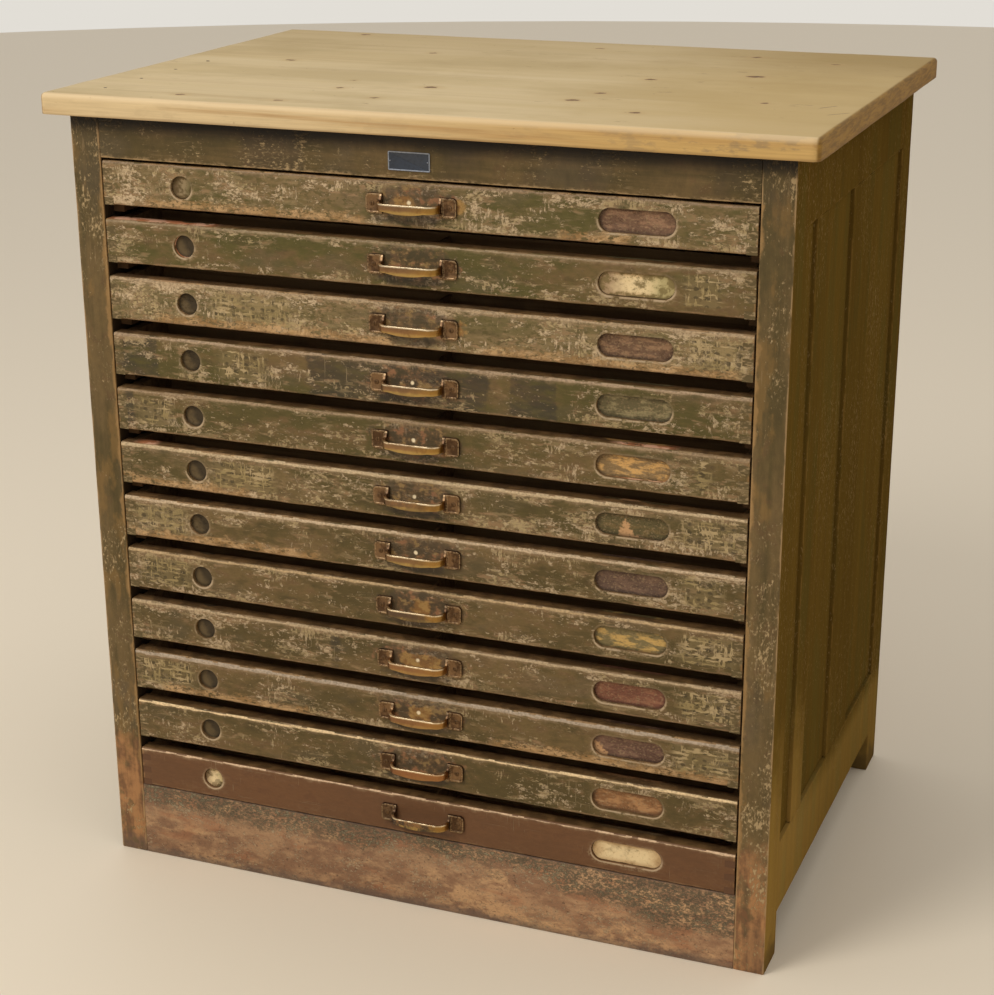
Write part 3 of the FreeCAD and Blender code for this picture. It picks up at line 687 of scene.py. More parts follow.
def top_pine():
    """Scrubbed pine: long grain that swerves round knots, with nail stains and dirt."""
    tint = colours()
    f = Finish("scrubbed pine", Specular_IOR_Level=0.2)
    figure = f.node("ShaderNodeAttribute", {"attribute_name": "figure"}, output="Vector")
    knot = f.attribute("knot")
    low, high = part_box("top_board")
    line = f.noise((1.4, 70, 70), detail=5, roughness=0.62, place=figure)
    ring = f.noise((0.8, 15, 15), detail=3, place=figure)
    fibre = f.noise((14, 560, 560), detail=3, roughness=0.6, place=figure)
    cloud = f.noise((4, 6, 6), detail=5, roughness=0.6)
    f.surface = f.mix(f.step(ring, 0.38, 0.64), tint.pine, chip(206, 182, 138))
    f.lay(f.step(line, 0.52, 0.74) * 0.42, tint.pine_line)
    f.shade(0.90 + 0.20 * fibre)
    f.lay(f.step(cloud, 0.48, 0.66) * 0.5, chip(178, 154, 108))
    right = f.step(f.x + 0.35 * (cloud - 0.5), 0.02, 0.40)
    f.lay(right * 0.62, chip(182, 150, 88))
    back = f.step(f.y + 0.30 * (cloud - 0.5), -0.05, 0.30)
    f.lay(back * (0.38 + 0.38 * right), chip(156, 128, 74))
    ink = f.step(f.noise((20, 60, 60), detail=5, roughness=0.7), 0.64, 0.71)
    f.lay(ink * 0.45, chip(118, 92, 60))
    dot = f.cells((36, 52, 52), feature="F1")
    dots = f.step(dot, 0.055, 0.030) * f.step(f.noise((9, 11, 11)), 0.50, 0.56)
    f.lay(dots * 0.7, chip(96, 70, 44))

    # knots: a dark broken heart in a warm halo
    halo = f.step(knot, 3.0, 1.0)
    f.lay(halo * 0.30, chip(184, 150, 98))
    shape = knot + 1.1 * (f.noise((190, 190, 190), detail=3) - 0.5)
    f.lay(f.step(shape, 1.15, 0.80) * 0.85, tint.knot)
    f.lay(f.step(shape, 0.55, 0.35) * 0.7, chip(76, 54, 34))

    # two short cracks near the right front corner
    for x, y, lean in ((0.436, -0.160, 0.9), (0.416, -0.118, 0.7)):
        away = f.x - x - lean * (f.y - y) + 0.006 * (cloud - 0.5)
        crack = f.step(abs(away), 0.0016, 0.0006) * f.step(abs(f.y - y), 0.012, 0.008)
        f.lay(crack * 0.8, chip(92, 70, 46))

    # front edge and ends: handled, with a paler worn arris and scuffs to the right
    edge_face = f.step(f.y, low.y + 0.0050, low.y + 0.0020)
    handled = f.mix(f.step(f.x, -0.20, 0.30), chip(208, 180, 134), chip(196, 156, 92))
    handled = f.mix(f.step(line, 0.48, 0.62) * 0.7, handled, chip(164, 120, 68))
    scuff = f.step(f.noise((24, 24, 70), detail=4, roughness=0.65), 0.52, 0.62)
    handled = f.mix(scuff * (0.12 + 0.5 * f.step(f.x, 0.1, 0.4)), handled, chip(136, 112, 82))
    f.lay(edge_face * 0.85, f.lit(handled, 0.74 + 0.52 * fibre))
    rise = f.step(f.z, high.z - 0.0080, high.z - 0.0030)
    worn = rise * f.step(f.y, low.y + 0.010, low.y + 0.0040)
    f.lay(worn * 0.55, chip(226, 198, 154))
    end = f.step(abs(f.x), high.x - 0.0050, high.x - 0.0020)
    end_rings = f.noise((30, 30, 260), detail=4, roughness=0.7, distortion=0.3)
    end_tint = f.mix(f.step(end_rings, 0.35, 0.65), chip(158, 116, 44), chip(122, 86, 28))
    end_tint = f.lit(end_tint, 0.8 + 0.4 * f.noise((420, 420, 420), detail=3))
    f.lay(end * 0.9, end_tint)
    foot = f.step(f.z + 0.006 * (cloud - 0.5), low.z + 0.0035, low.z + 0.0005)
    f.lay(foot * 0.5, chip(128, 94, 54))
    f.relief(0.45 * line + 0.25 * fibre - 0.6 * ink - 0.8 * dots + 0.4 * halo, 0.0005)
    return f.paint(0.60 + 0.14 * fibre)


def raw_pine(name, grain, painted_ends=False, nailed=False):
    """Unpainted old pine, stained in patches, with its grain along one axis."""
    tint = colours()
    f = Finish(name, Specular_IOR_Level=0.2)
    per_metre = [110.0] * 3
    per_metre["xyz".index(grain)] = 3.0
    line = f.noise(per_metre, detail=4, roughness=0.6)
    plank = f.noise([value * 0.18 for value in per_metre], detail=2)
    f.surface = f.mix(f.step(line, 0.42, 0.66), tint.raw_pine, chip(126, 92, 56))
    f.lay(f.step(plank, 0.4, 0.7) * 0.5, chip(112, 84, 54))
    stain = f.step(f.noise((9, 9, 9), detail=5, roughness=0.65), 0.52, 0.70)
    f.lay(stain * 0.45, chip(92, 70, 48))
    f.shade(0.84 + 0.32 * f.noise((420, 420, 420), detail=2))
    if nailed:
        along, across = f.map("near")
        along_far, across_far = f.map("far")
        f.shade(0.86 + 0.30 * f.attribute("tone"))
        f.lay(f.step(across.least(across_far), 0.0028, 0.0010) * 0.8, chip(44, 32, 22))
        nail = f.span(along.least(along_far) - 0.020, across.least(across_far) - 0.024)
        f.lay(f.step(nail, 0.0090, 0.0020) * 0.35, chip(70, 52, 38))
        f.lay(f.step(nail, 0.0030, 0.0022) * 0.85, chip(52, 44, 40))
    if painted_ends:
        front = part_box(LOWEST + "_front")[0].y
        face = f.step(f.y, front + 0.0010, front + 0.0004)
        bars = f.mix(f.step(f.noise((150, 150, 330), detail=4, roughness=0.62), 0.48, 0.64),
                     chip(96, 80, 50), chip(150, 126, 90))
        lowest = f.step(f.z, 0.155, 0.150)
        bars = f.mix(lowest, bars, chip(98, 68, 46))
        f.lay(face, bars)
    f.relief(line, 0.0004)
    return f.paint(0.72)


def aged_brass():
    """Brass that hands keep bright on the strap and that has gone brown at the feet, with a
    painted highlight along the strap's upper edge.
    """
    tint = colours()
    f = Finish("aged brass", Metallic=1.0)
    low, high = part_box(LOWEST + "_pull")
    cloud = f.noise((55, 55, 55), detail=5, roughness=0.65)
    fine = f.noise((420, 420, 420), detail=3, roughness=0.6)
    rise = f.attribute("rise")
    reach = f.step(f.y, high.y - 0.003, high.y - 0.012)
    handled = f.step(reach + 1.2 * (cloud - 0.5), 0.25, 0.80)
    golden = f.step(f.x + 0.030 * (cloud - 0.5), -0.010, 0.036)
    face = f.mix(golden, chip(148, 114, 80), chip(170, 130, 66))
    face = f.mix(f.step(rise + 0.004 * (cloud - 0.5), -0.0010, -0.0046) * 0.6, face,
                 chip(204, 174, 102))
    face = f.mix(f.attribute("copper") * 0.8, face, chip(160, 108, 70))
    face = f.mix(f.step(cloud, 0.54, 0.66) * 0.45, face, chip(126, 92, 58))
    f.surface = f.mix(handled, f.mix(f.step(cloud, 0.44, 0.60), chip(84, 62, 44), tint.patina),
                      face)
    dulled = f.attribute("dull") * f.step(cloud + 0.4 * (fine - 0.5), 0.34, 0.52)
    bright_end = f.step(f.x + 0.016 * (cloud - 0.5), 0.012, 0.032)
    dulled = dulled * (0.25 + 0.75 * handled)
    f.lay(dulled * (1 - 0.9 * bright_end) * 0.9, chip(72, 65, 60))
    on_strap = f.step(f.y, low.y + 0.012, low.y + 0.005)
    # painted highlight along the upper edge of the strap
    crown_highlight = f.step(rise + 0.0012 * (fine - 0.5), 0.0022, 0.0033) * on_strap
    f.lay(crown_highlight * (0.35 + 0.65 * f.step(cloud, 0.40, 0.50)), chip(242, 218, 178))
    f.lay(f.step(rise, -0.0056, -0.0066) * on_strap * 0.6, chip(96, 72, 44))
    rim = f.step(f.y, high.y - 0.0024, high.y - 0.0031)
    rim = rim * f.step(f.y, high.y - 0.0042, high.y - 0.0036)
    f.lay(rim * f.step(fine, 0.40, 0.56) * 0.55, chip(180, 152, 114))
    f.shade(0.80 + 0.4 * fine)
    f.relief(0.5 * cloud + 0.3 * fine, 0.0004)
    return f.paint(0.40 - 0.10 * handled + 0.18 * (cloud - 0.5))


def old_paper():
    """Old card, stained and rubbed, with remains of paint."""
    tint = colours()
    f = Finish("old paper", Specular_IOR_Level=0.1)
    cloud = f.noise((70, 70, 90), detail=4, roughness=0.65)
    fine = f.noise((380, 380, 480), detail=4, roughness=0.65)
    f.surface = f.mix(f.step(cloud, 0.46, 0.64), tint.paper, f.lit(tint.paper, 0.74))
    border = f.step(f.attribute("border") + 0.5 * (cloud - 0.5), 0.45, 1.0)
    f.lay(border * 0.65, chip(178, 136, 88))
    f.lay(f.step(fine, 0.58, 0.66) * 0.5, chip(150, 118, 70))
    leftward = f.attribute("leftward")
    browned = f.step(leftward + 0.9 * (cloud - 0.5), 0.10, 0.75) * f.attribute("stain")
    f.lay(browned, chip(140, 112, 86))
    greened = f.step(0.9 * (cloud - 0.5) - leftward, 0.10, 0.70) * f.attribute("stain")
    f.lay(greened, chip(160, 150, 98))
    stain = f.attribute("stain") * (0.6 + 0.9 * border)
    stain = f.step(cloud + 0.4 * (fine - 0.5) + 0.24 * stain, 0.62, 0.76)
    f.lay(stain * 0.8, chip(120, 102, 62))
    lost = f.noise((60, 60, 60), detail=3) + f.attribute("torn") * 0.3
    f.lay(f.step(lost, 0.60, 0.63) * f.attribute("torn"), chip(78, 60, 38))
    f.relief(0.6 * cloud + 0.4 * fine, 0.0006)
    return f.paint(0.75)


def plain_old(name, tint, roughness, grain=300, **constants):
    """A small part's finish: one colour, clouded and dirtied."""
    f = Finish(name, **constants)
    cloud = f.noise((grain,) * 3, detail=4, roughness=0.6)
    f.surface = f.mix(f.step(cloud, 0.42, 0.66) * 0.6, tint, [value * 0.55 for value in tint])
    f.relief(cloud, 0.0003)
    return f.paint(roughness + 0.2 * (cloud - 0.5))


# -------------------------------------------------------------------------- modelling


def deselect():
    bpy.ops.object.select_all(action="DESELECT")


def pick(piece, kind, test):
    """In edit mode, selects the vertices, edges or faces whose middle and normal pass a test."""
    bpy.ops.mesh.select_all(action="DESELECT")
    bpy.ops.mesh.select_mode(type=kind)
    shape = bmesh.from_edit_mesh(piece.data)
    if kind == "VERT":
        for corner in shape.verts:
            corner.select_set(test(corner.co, corner.normal))
    elif kind == "EDGE":
        for edge in shape.edges:
            start, end = edge.verts
            edge.select_set(test((start.co + end.co) / 2, end.co - start.co))
    else:
        for face in shape.faces:
            face.select_set(test(face.calc_center_median(), face.normal))
    bmesh.update_edit_mesh(piece.data)


def near(value, other, slack=0.0002):
    return abs(value - other) < slack


def block(name, low, high):
    """A cube primitive at its size and place, ready to be shaped."""
    deselect()
    bpy.ops.mesh.primitive_cube_add(size=1, location=(low + high) / 2)
    piece = bpy.context.active_object
    piece.name = name
    piece.scale = high - low
    bpy.ops.object.transform_apply(location=True, rotation=True, scale=True)
    return piece


def finish_modifier(piece, kind, **settings):
    """Adds a modifier and applies it."""
    bpy.context.view_layer.objects.active = piece
    made = piece.modifiers.new(kind.lower(), kind)
    for name, value in settings.items():
        setattr(made, name, value)
    bpy.ops.object.modifier_apply(modifier=made.name)


def waver(piece, strength, spread):
    """Lets a piece's surface stray a little, as old hand-planed wood does."""
    unevenness = bpy.data.textures.new(piece.name + "_unevenness", "CLOUDS")
    unevenness.noise_scale = spread
    finish_modifier(piece, "DISPLACE", texture=unevenness, texture_coords="LOCAL",
                    strength=strength, mid_level=0.5)
    bpy.data.textures.remove(unevenness)


def cut_along(piece, axis, cuts):
    """Divides every edge that runs along an axis, so that the piece can stray."""
    bpy.ops.object.mode_set(mode="EDIT")
    pick(piece, "EDGE", lambda middle, run: abs(run[axis]) > 0.9 * run.length)
    bpy.ops.mesh.subdivide(number_cuts=cuts)
    bpy.ops.object.mode_set(mode="OBJECT")


def read(items, name, width=1, kind=np.float32):
    """One property of all of a mesh's vertices, corners or faces, with a row for each."""
    values = np.empty(len(items) * width, kind)
    items.foreach_get(name, values)
    return values.reshape(-1, width) if width > 1 else values


def measure(piece, low, high, grain):
    """Gives a piece two maps in metres: from its low ends and from its high ends, each
    along the grain and across it."""
    mesh = piece.data
    for name in [layer.name for layer in mesh.uv_layers]:
        mesh.uv_layers.remove(mesh.uv_layers[name])
    places = read(mesh.vertices, "co", 3)[read(mesh.loops, "vertex_index", kind=np.int32)]
    totals = read(mesh.polygons, "loop_total", kind=np.int32)
    facing = np.repeat(np.abs(read(mesh.polygons, "normal", 3)).argmax(1), totals)
    others = {axis: [other for other in range(3) if other != axis] for axis in range(3)}
    for axis, pair in others.items():
        if grain in pair:
            others[axis] = [grain, next(other for other in pair if other != grain)]
    pairs = np.array([others[axis] for axis in range(3)])[facing]
    rows = np.arange(len(places))
    for name, spans in (("near", places - np.array(low)), ("far", np.array(high) - places)):
        layer = mesh.uv_layers.new(name=name)
        flat = np.stack([spans[rows, pairs[:, 0]], spans[rows, pairs[:, 1]]], 1)
        layer.data.foreach_set("uv", flat.astype(np.float32).ravel())


def smooth(piece, degrees=35):
    deselect()
    piece.select_set(True)
    bpy.context.view_layer.objects.active = piece
    bpy.ops.object.shade_smooth_by_angle(angle=math.radians(degrees))


def board(name, low, high, grain):
    """A planed board between two corners, with worn arrises and a surface that strays."""
    axis = "xyz".index(grain)
    low, high = Vector(low), Vector(high)
    piece = block(name, low, high)
    cut_along(piece, axis, max(1, round((high - low)[axis] / BOARD_FACET)))
    finish_modifier(piece, "BEVEL", width=sizes().board_arris, segments=2,
                    limit_method="ANGLE", angle_limit=math.radians(40))
    waver(piece, sizes().waver, BOARD_SPREAD)
    smooth(piece)
    measure(piece, low, high, axis)
    return piece


def joined(name, pieces):
    """One piece made of several separate boards."""
    deselect()
    for piece in pieces:
        piece.select_set(True)
    bpy.context.view_layer.objects.active = pieces[0]
    if len(pieces) > 1:
        bpy.ops.object.join()
    pieces[0].name = name
    return pieces[0]


def copied(master, name, shift):
    """A copy with its own mesh, moved by a shift."""
    piece = master.copy()
    piece.data = master.data.copy()
    piece.name = name
    bpy.context.collection.objects.link(piece)
    piece.data.transform(Matrix.Translation(shift))
    return piece


def store(piece, name, values):
    """Stores one value, or one value for each vertex, as an attribute."""
    mesh = piece.data
    if isinstance(values, tuple):
        layer = mesh.attributes.new(name, "FLOAT_COLOR", "POINT")
        row = np.array((*values, 1.0), np.float32)
        layer.data.foreach_set("color", np.tile(row, len(mesh.vertices)))
    else:
        layer = mesh.attributes.new(name, "FLOAT", "POINT")
        row = np.broadcast_to(np.asarray(values, np.float32), (len(mesh.vertices),))
        layer.data.foreach_set("value", np.ascontiguousarray(row))


def stud(place, radius, height=1.0, segments=12, turn=0):
    """A round head: a sphere that is flattened along its own axis."""
    deselect()
    bpy.ops.mesh.primitive_uv_sphere_add(segments=segments, ring_count=segments // 2,
                                         radius=radius, location=place,
                                         rotation=(math.radians(turn), 0, 0))
    head = bpy.context.active_object
    head.scale.z = height
    bpy.ops.object.transform_apply(location=True, rotation=True, scale=True)
    return head


def round_ended(name, place, radius, straight, depth):
    """A prism that faces forward, with round ends."""
    deselect()
    bpy.ops.mesh.primitive_cylinder_add(vertices=48, radius=radius, depth=depth,
                                        location=place, rotation=(math.radians(90), 0, 0))
    piece = bpy.context.active_object
    piece.name = name
    bpy.ops.object.transform_apply(location=True, rotation=True, scale=True)
    if straight:
        bpy.ops.object.mode_set(mode="EDIT")
        for side in (1, -1):
            pick(piece, "VERT", lambda spot, normal: side * (spot.x - place.x) > 1e-5)
            bpy.ops.transform.translate(value=(side * straight / 2, 0, 0))
        bpy.ops.object.mode_set(mode="OBJECT")
    return piece


def dressed(piece, material, body, replaces=()):
    """Gives a finished piece its material, the body that it rides on and what it stands for."""
    if material:
        piece.data.materials.clear()
        piece.data.materials.append(material)
    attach(piece, body)
    if replaces:
        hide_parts(*replaces)
    return piece


def fitted(node, grain, material, ends=None):
    """A board in place of a node of the carcass, which can run between two given ends."""
    low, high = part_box(node)
    if ends:
        axis = "xyz".index(grain)
        low[axis], high[axis] = ends
    dressed(board(node + "_board", low, high, grain), material, "carcass", [node])


def solids(node):
    """The corners of each separate solid of a frame node, from its loose triangles."""
    shape = bmesh.new()
    shape.from_mesh(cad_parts[node].data)
    bmesh.ops.remove_doubles(shape, verts=shape.verts, dist=0.00001)
    left = set(shape.verts)
    found = []
    while left:
        group = [left.pop()]
        for corner in group:
            for edge in corner.link_edges:
                other = edge.other_vert(corner)
                if other in left:
                    left.remove(other)
                    group.append(other)
        low = Vector(min(corner.co[axis] for corner in group) for axis in range(3))
        high = Vector(max(corner.co[axis] for corner in group) for axis in range(3))
        found.append((low, high))
    shape.free()
    return sorted(found, key=lambda corners: tuple(corners[0]))


# --------------------------------------------------------------------------- operators


class CabinetPiece:
    """What the cabinet's operators share."""

    bl_options = {"REGISTER", "UNDO"}

    def execute(self, context):
        self.build()
        return {"FINISHED"}


class CABINET_OT_top_board(CabinetPiece, bpy.types.Operator):
    """Makes the scrubbed pine top with its knots and nails"""

    bl_idname = "cabinet.top_board"
    bl_label = "Top Board"

    # Knots by their place on the top and their radius, in metres.
    KNOTS = (
        (-0.326, 0.296, 0.006), (0.026, 0.263, 0.005), (0.240, 0.246, 0.006),
        (0.349, 0.213, 0.005), (0.283, 0.079, 0.009), (0.173, 0.016, 0.006),
        (-0.306, 0.029, 0.006), (-0.163, 0.149, 0.005), (0.344, -0.115, 0.005),
        (0.151, -0.105, 0.006), (-0.047, -0.127, 0.007), (-0.143, -0.167, 0.005),
        (-0.076, -0.221, 0.005), (0.139, -0.164, 0.007), (0.231, -0.224, 0.006),
        (-0.169, -0.273, 0.005), (-0.293, -0.273, 0.005), (-0.156, -0.107, 0.004),
    )
    NAIL_INSET = 53 * MM
    NAIL_PLACES = (-0.257, -0.176, -0.095, -0.014)
    NAIL_RADIUS = 2.6 * MM
    NAIL_SUNK = 0.2 * MM
    # The strip left uncut along each edge, and the length between the cuts inside it.
    RIM = 12 * MM
    FACET = 6 * MM

    def build(self):
        low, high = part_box("top_board")
        size = sizes()
        piece = block("top_board_pine", low, high)
        bpy.ops.object.mode_set(mode="EDIT")
        for axis in (0, 1):
            normal = [float(axis == 0), float(axis == 1), 0.0]
            for plane in (low[axis] + self.RIM, high[axis] - self.RIM):
                bpy.ops.mesh.select_all(action="SELECT")
                bpy.ops.mesh.bisect(plane_co=[plane * part for part in normal], plane_no=normal)
            pick(piece, "EDGE",
                 lambda middle, run: abs(run[axis]) > 0.9 * run.length and run.length > 0.1)
            bpy.ops.mesh.subdivide(number_cuts=round((high - low)[axis] / self.FACET))
        pick(piece, "EDGE", lambda middle, run: abs(run.z) > 0.9 * run.length
             and near(middle.y, low.y) and near(abs(middle.x), high.x))
        bpy.ops.mesh.bevel(offset=size.top_corner, segments=5, affect="EDGES")
        pick(piece, "EDGE", lambda middle, run: near(middle.z, high.z) and abs(run.z) < 1e-6
             and self.on_rim(middle, low, high))
        bpy.ops.mesh.bevel(offset=size.top_arris, segments=4, affect="EDGES")
        bpy.ops.mesh.select_all(action="SELECT")
        bpy.ops.mesh.remove_doubles(threshold=1e-5)
        bpy.ops.mesh.normals_make_consistent(inside=False)
        bpy.ops.object.mode_set(mode="OBJECT")
        waver(piece, 0.8 * MM, 0.09)
        waver(piece, 0.3 * MM, 0.012)
        smooth(piece)
        measure(piece, low, high, 0)
        self.figure(piece)
        dressed(piece, top_pine(), "carcass", ["top_board"])
        self.nails(high)

    def on_rim(self, middle, low, high):
        """True on the front edge, on the ends and round the front corners."""
        radius = sizes().top_corner
        if near(middle.y, low.y) or near(abs(middle.x), high.x):
            return middle.y < high.y - 1e-4
        corner = Vector((high.x - radius, low.y + radius))
        reach = Vector((abs(middle.x), middle.y)) - corner
        return reach.x > 0 and reach.y < 0 and reach.length > radius * 0.9

    def figure(self, piece):
        """Stores where the grain runs and how near the closest knot is, in knot radii."""
        mesh = piece.data
        places = read(mesh.vertices, "co", 3)
        across = places[:, 1].copy()
        nearest = np.full(len(places), 9.0)
        for x, y, radius in self.KNOTS:
            along, side = places[:, 0] - x, places[:, 1] - y
            pull = np.exp(-(along / (7 * radius)) ** 2 - (side / (4 * radius)) ** 2)
            across -= 1.6 * radius * np.tanh(side / radius) * pull
            nearest = np.minimum(nearest, np.hypot(along / 1.25, side) / radius)
        figure = mesh.attributes.new("figure", "FLOAT_VECTOR", "POINT")
        flowed = np.stack([places[:, 0], across, places[:, 2]], 1)
        figure.data.foreach_set("vector", flowed.astype(np.float32).ravel())
        store(piece, "knot", nearest)

    def nails(self, high):
        """Nail heads along the left end of the top."""
        place = Vector((self.NAIL_INSET - high.x, 0, high.z - self.NAIL_SUNK))
        head = stud(place, self.NAIL_RADIUS, 0.25)
        heads = [copied(head, "nail", Vector((0, along, 0))) for along in self.NAIL_PLACES]
        bpy.data.objects.remove(head)
        nails = joined("top_nails", heads)
        smooth(nails)
        dressed(nails, plain_old("rusted iron", chip(74, 56, 42), 0.6, Metallic=0.6), "carcass")


class CABINET_OT_face_frame(CabinetPiece, bpy.types.Operator):
    """Makes the front posts, the rail over the cases and the plinth"""

    bl_idname = "cabinet.face_frame"
    bl_label = "Face Frame"

    def build(self):
        upright = frame_paint("worn olive uprights", "z")
        level = frame_paint("worn olive rail", "x")
        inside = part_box("front_post_right")[0].x
        varnished = side_paint("varnished post", 1.0, 0.55)
        for side, sign in SIDES.items():
            node = "front_post_" + side
            piece = board(node + "_board", *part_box(node), "z")
            piece.data.materials.append(upright)
            piece.data.materials.append(varnished)
            bpy.ops.object.mode_set(mode="EDIT")
            pick(piece, "FACE", lambda middle, normal: sign * normal.x > 0.8)
            piece.active_material_index = 1
            bpy.ops.object.material_slot_assign()
            bpy.ops.object.mode_set(mode="OBJECT")
            dressed(piece, None, "carcass", [node])
        fitted("front_top_rail", "x", level, ends=(-inside, inside))
        fitted("plinth_board", "x", plinth_paint(), ends=(-inside, inside))


class CABINET_OT_side_frames(CabinetPiece, bpy.types.Operator):
    """Makes the rails, muntins and panels of both sides, and the back posts"""

    bl_idname = "cabinet.side_frames"
    bl_label = "Side Frames"

    def build(self):
        framing = side_paint("varnished framing", 0.94, 0.62)
        panelling = side_paint("varnished panels", 1.06, -0.08)
        for side in SIDES:
            depth = (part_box("front_post_" + side)[1].y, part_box("back_post_" + side)[0].y)
            fitted("back_post_" + side, "z", framing)
            fitted("side_top_rail_" + side, "y", framing, ends=depth)
            fitted("side_bottom_rail_" + side, "y", framing, ends=depth)
            height = (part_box("side_bottom_rail_" + side)[1].z,
                      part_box("side_top_rail_" + side)[0].z)
            self.boards("side_muntins_" + side, framing, height)
            self.boards("side_panels_" + side, panelling)

    def boards(self, node, material, height=None):
        """A board for each separate solid of a node, all joined into one piece."""
        boards = []
        for low, high in solids(node):
            if height:
                low.z, high.z = height
            boards.append(board("upright", low, high, "z"))
        dressed(joined(node + "_boards", boards), material, "carcass",
                [node])


class CABINET_OT_back(CabinetPiece, bpy.types.Operator):
    """Makes the back of tongued boards and its two rails"""

    bl_idname = "cabinet.back"
    bl_label = "Back"

    BOARDS = 5

    def build(self):
        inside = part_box("front_post_right")[0].x
        boards = []
        low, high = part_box("back_boards")
        width = (high.x - low.x) / self.BOARDS
        for number in range(self.BOARDS):
            left = low.x + number * width
            boards.append(board("back_board", Vector((left, low.y, low.z)),
                                Vector((left + width, high.y, high.z)), "z"))
            store(boards[-1], "tone", 0.37 * (number + 1) % 1)
        nailed = raw_pine("back pine", "z", nailed=True)
        dressed(joined("back_boards_pine", boards), nailed, "carcass",
                ["back_boards"])
        level = raw_pine("back rail pine", "x")
        for node in ("back_top_rail", "back_bottom_rail"):
            fitted(node, "x", level, ends=(-inside, inside))


class Look:
    """How one case front has aged: how worn it is, the two colours of its recess floor, the
    colour and width of its upper arris, where a tan scrap is left in the label recess, in
    metres from its left end, and its marks as spans along it, in millimetres."""

    MARKS = ("rub", "paste", "dark", "scored", "splinter", "unlit_lip", "gilt", "glint", "clean_and_less_shadow")

    def __init__(self, wear, recess, patch, arris, width, tan=0.0, **marks):
        self.wear = wear
        self.recess = recess
        self.patch = patch
        self.arris = arris
        self.width = width
        self.tan = tan
        self.marks = marks


LOOKS = (
    Look(0.84, chip(114, 84, 62), chip(146, 110, 82), chip(142, 118, 90), 0.5,
         rub=((55, 330), (560, 640)), gilt=((368, 392), (440, 452)), glint=((380, 396),)),
    Look(0.34, chip(112, 100, 66), chip(124, 112, 74), chip(146, 124, 92), 0.7,
         splinter=((0, 138),), paste=((700, 740),)),
    Look(1.10, chip(108, 80, 58), chip(142, 108, 78), chip(168, 142, 108), 0.9,
         rub=((60, 360), (470, 760)), paste=((135, 235), (706, 770)), gilt=((440, 452),)),
    Look(0.34, chip(98, 86, 56), chip(140, 124, 86), chip(160, 134, 104), 0.9,
         dark=((0, 60), (250, 480), (500, 560)), paste=((140, 200),), scored=((270, 360),),
         unlit_lip=((60, 140),), glint=((380, 396),)),
    Look(0.42, chip(136, 108, 70), chip(206, 158, 94), chip(150, 124, 92), 0.8,
         dark=((5, 24),), paste=((28, 74), (716, 736)), splinter=((625, 690),),
         glint=((380, 396),)),
    Look(0.74, chip(92, 80, 48), chip(110, 90, 54), chip(188, 162, 124), 1.1,
         rub=((0, 170),), paste=((125, 205), (704, 770)), splinter=((20, 45),),
         glint=((380, 396),), tan=0.640),
    Look(0.58, chip(100, 76, 60), chip(118, 90, 70), chip(190, 164, 130), 1.1,
         rub=((0, 260),), paste=((16, 84), (706, 750)), unlit_lip=((60, 140),),
         glint=((380, 396),)),
    Look(0.34, chip(122, 106, 68), chip(194, 156, 90), chip(180, 150, 108), 0.8,
         paste=((20, 84), (706, 772)), gilt=((376, 404),)),
    Look(0.52, chip(120, 76, 56), chip(140, 94, 68), chip(176, 150, 114), 1.0,
         dark=((270, 290),), paste=((706, 768),), gilt=((362, 416),),
         unlit_lip=((60, 140),), glint=((380, 396),)),
    Look(0.48, chip(100, 72, 56), chip(124, 92, 72), chip(168, 148, 124), 1.3,
         rub=((40, 240), (480, 776)), paste=((8, 80), (700, 768)), unlit_lip=((60, 140),),
         gilt=((372, 402),), glint=((380, 396),), tan=0.606),
    Look(0.27, chip(136, 94, 58), chip(170, 124, 80), chip(222, 190, 142), 0.8,
         scored=((560, 600),)),
    Look(0.00, chip(122, 96, 64), chip(150, 120, 84), chip(206, 172, 134), 0.4,
         clean_and_less_shadow=((0, 780),)),
)


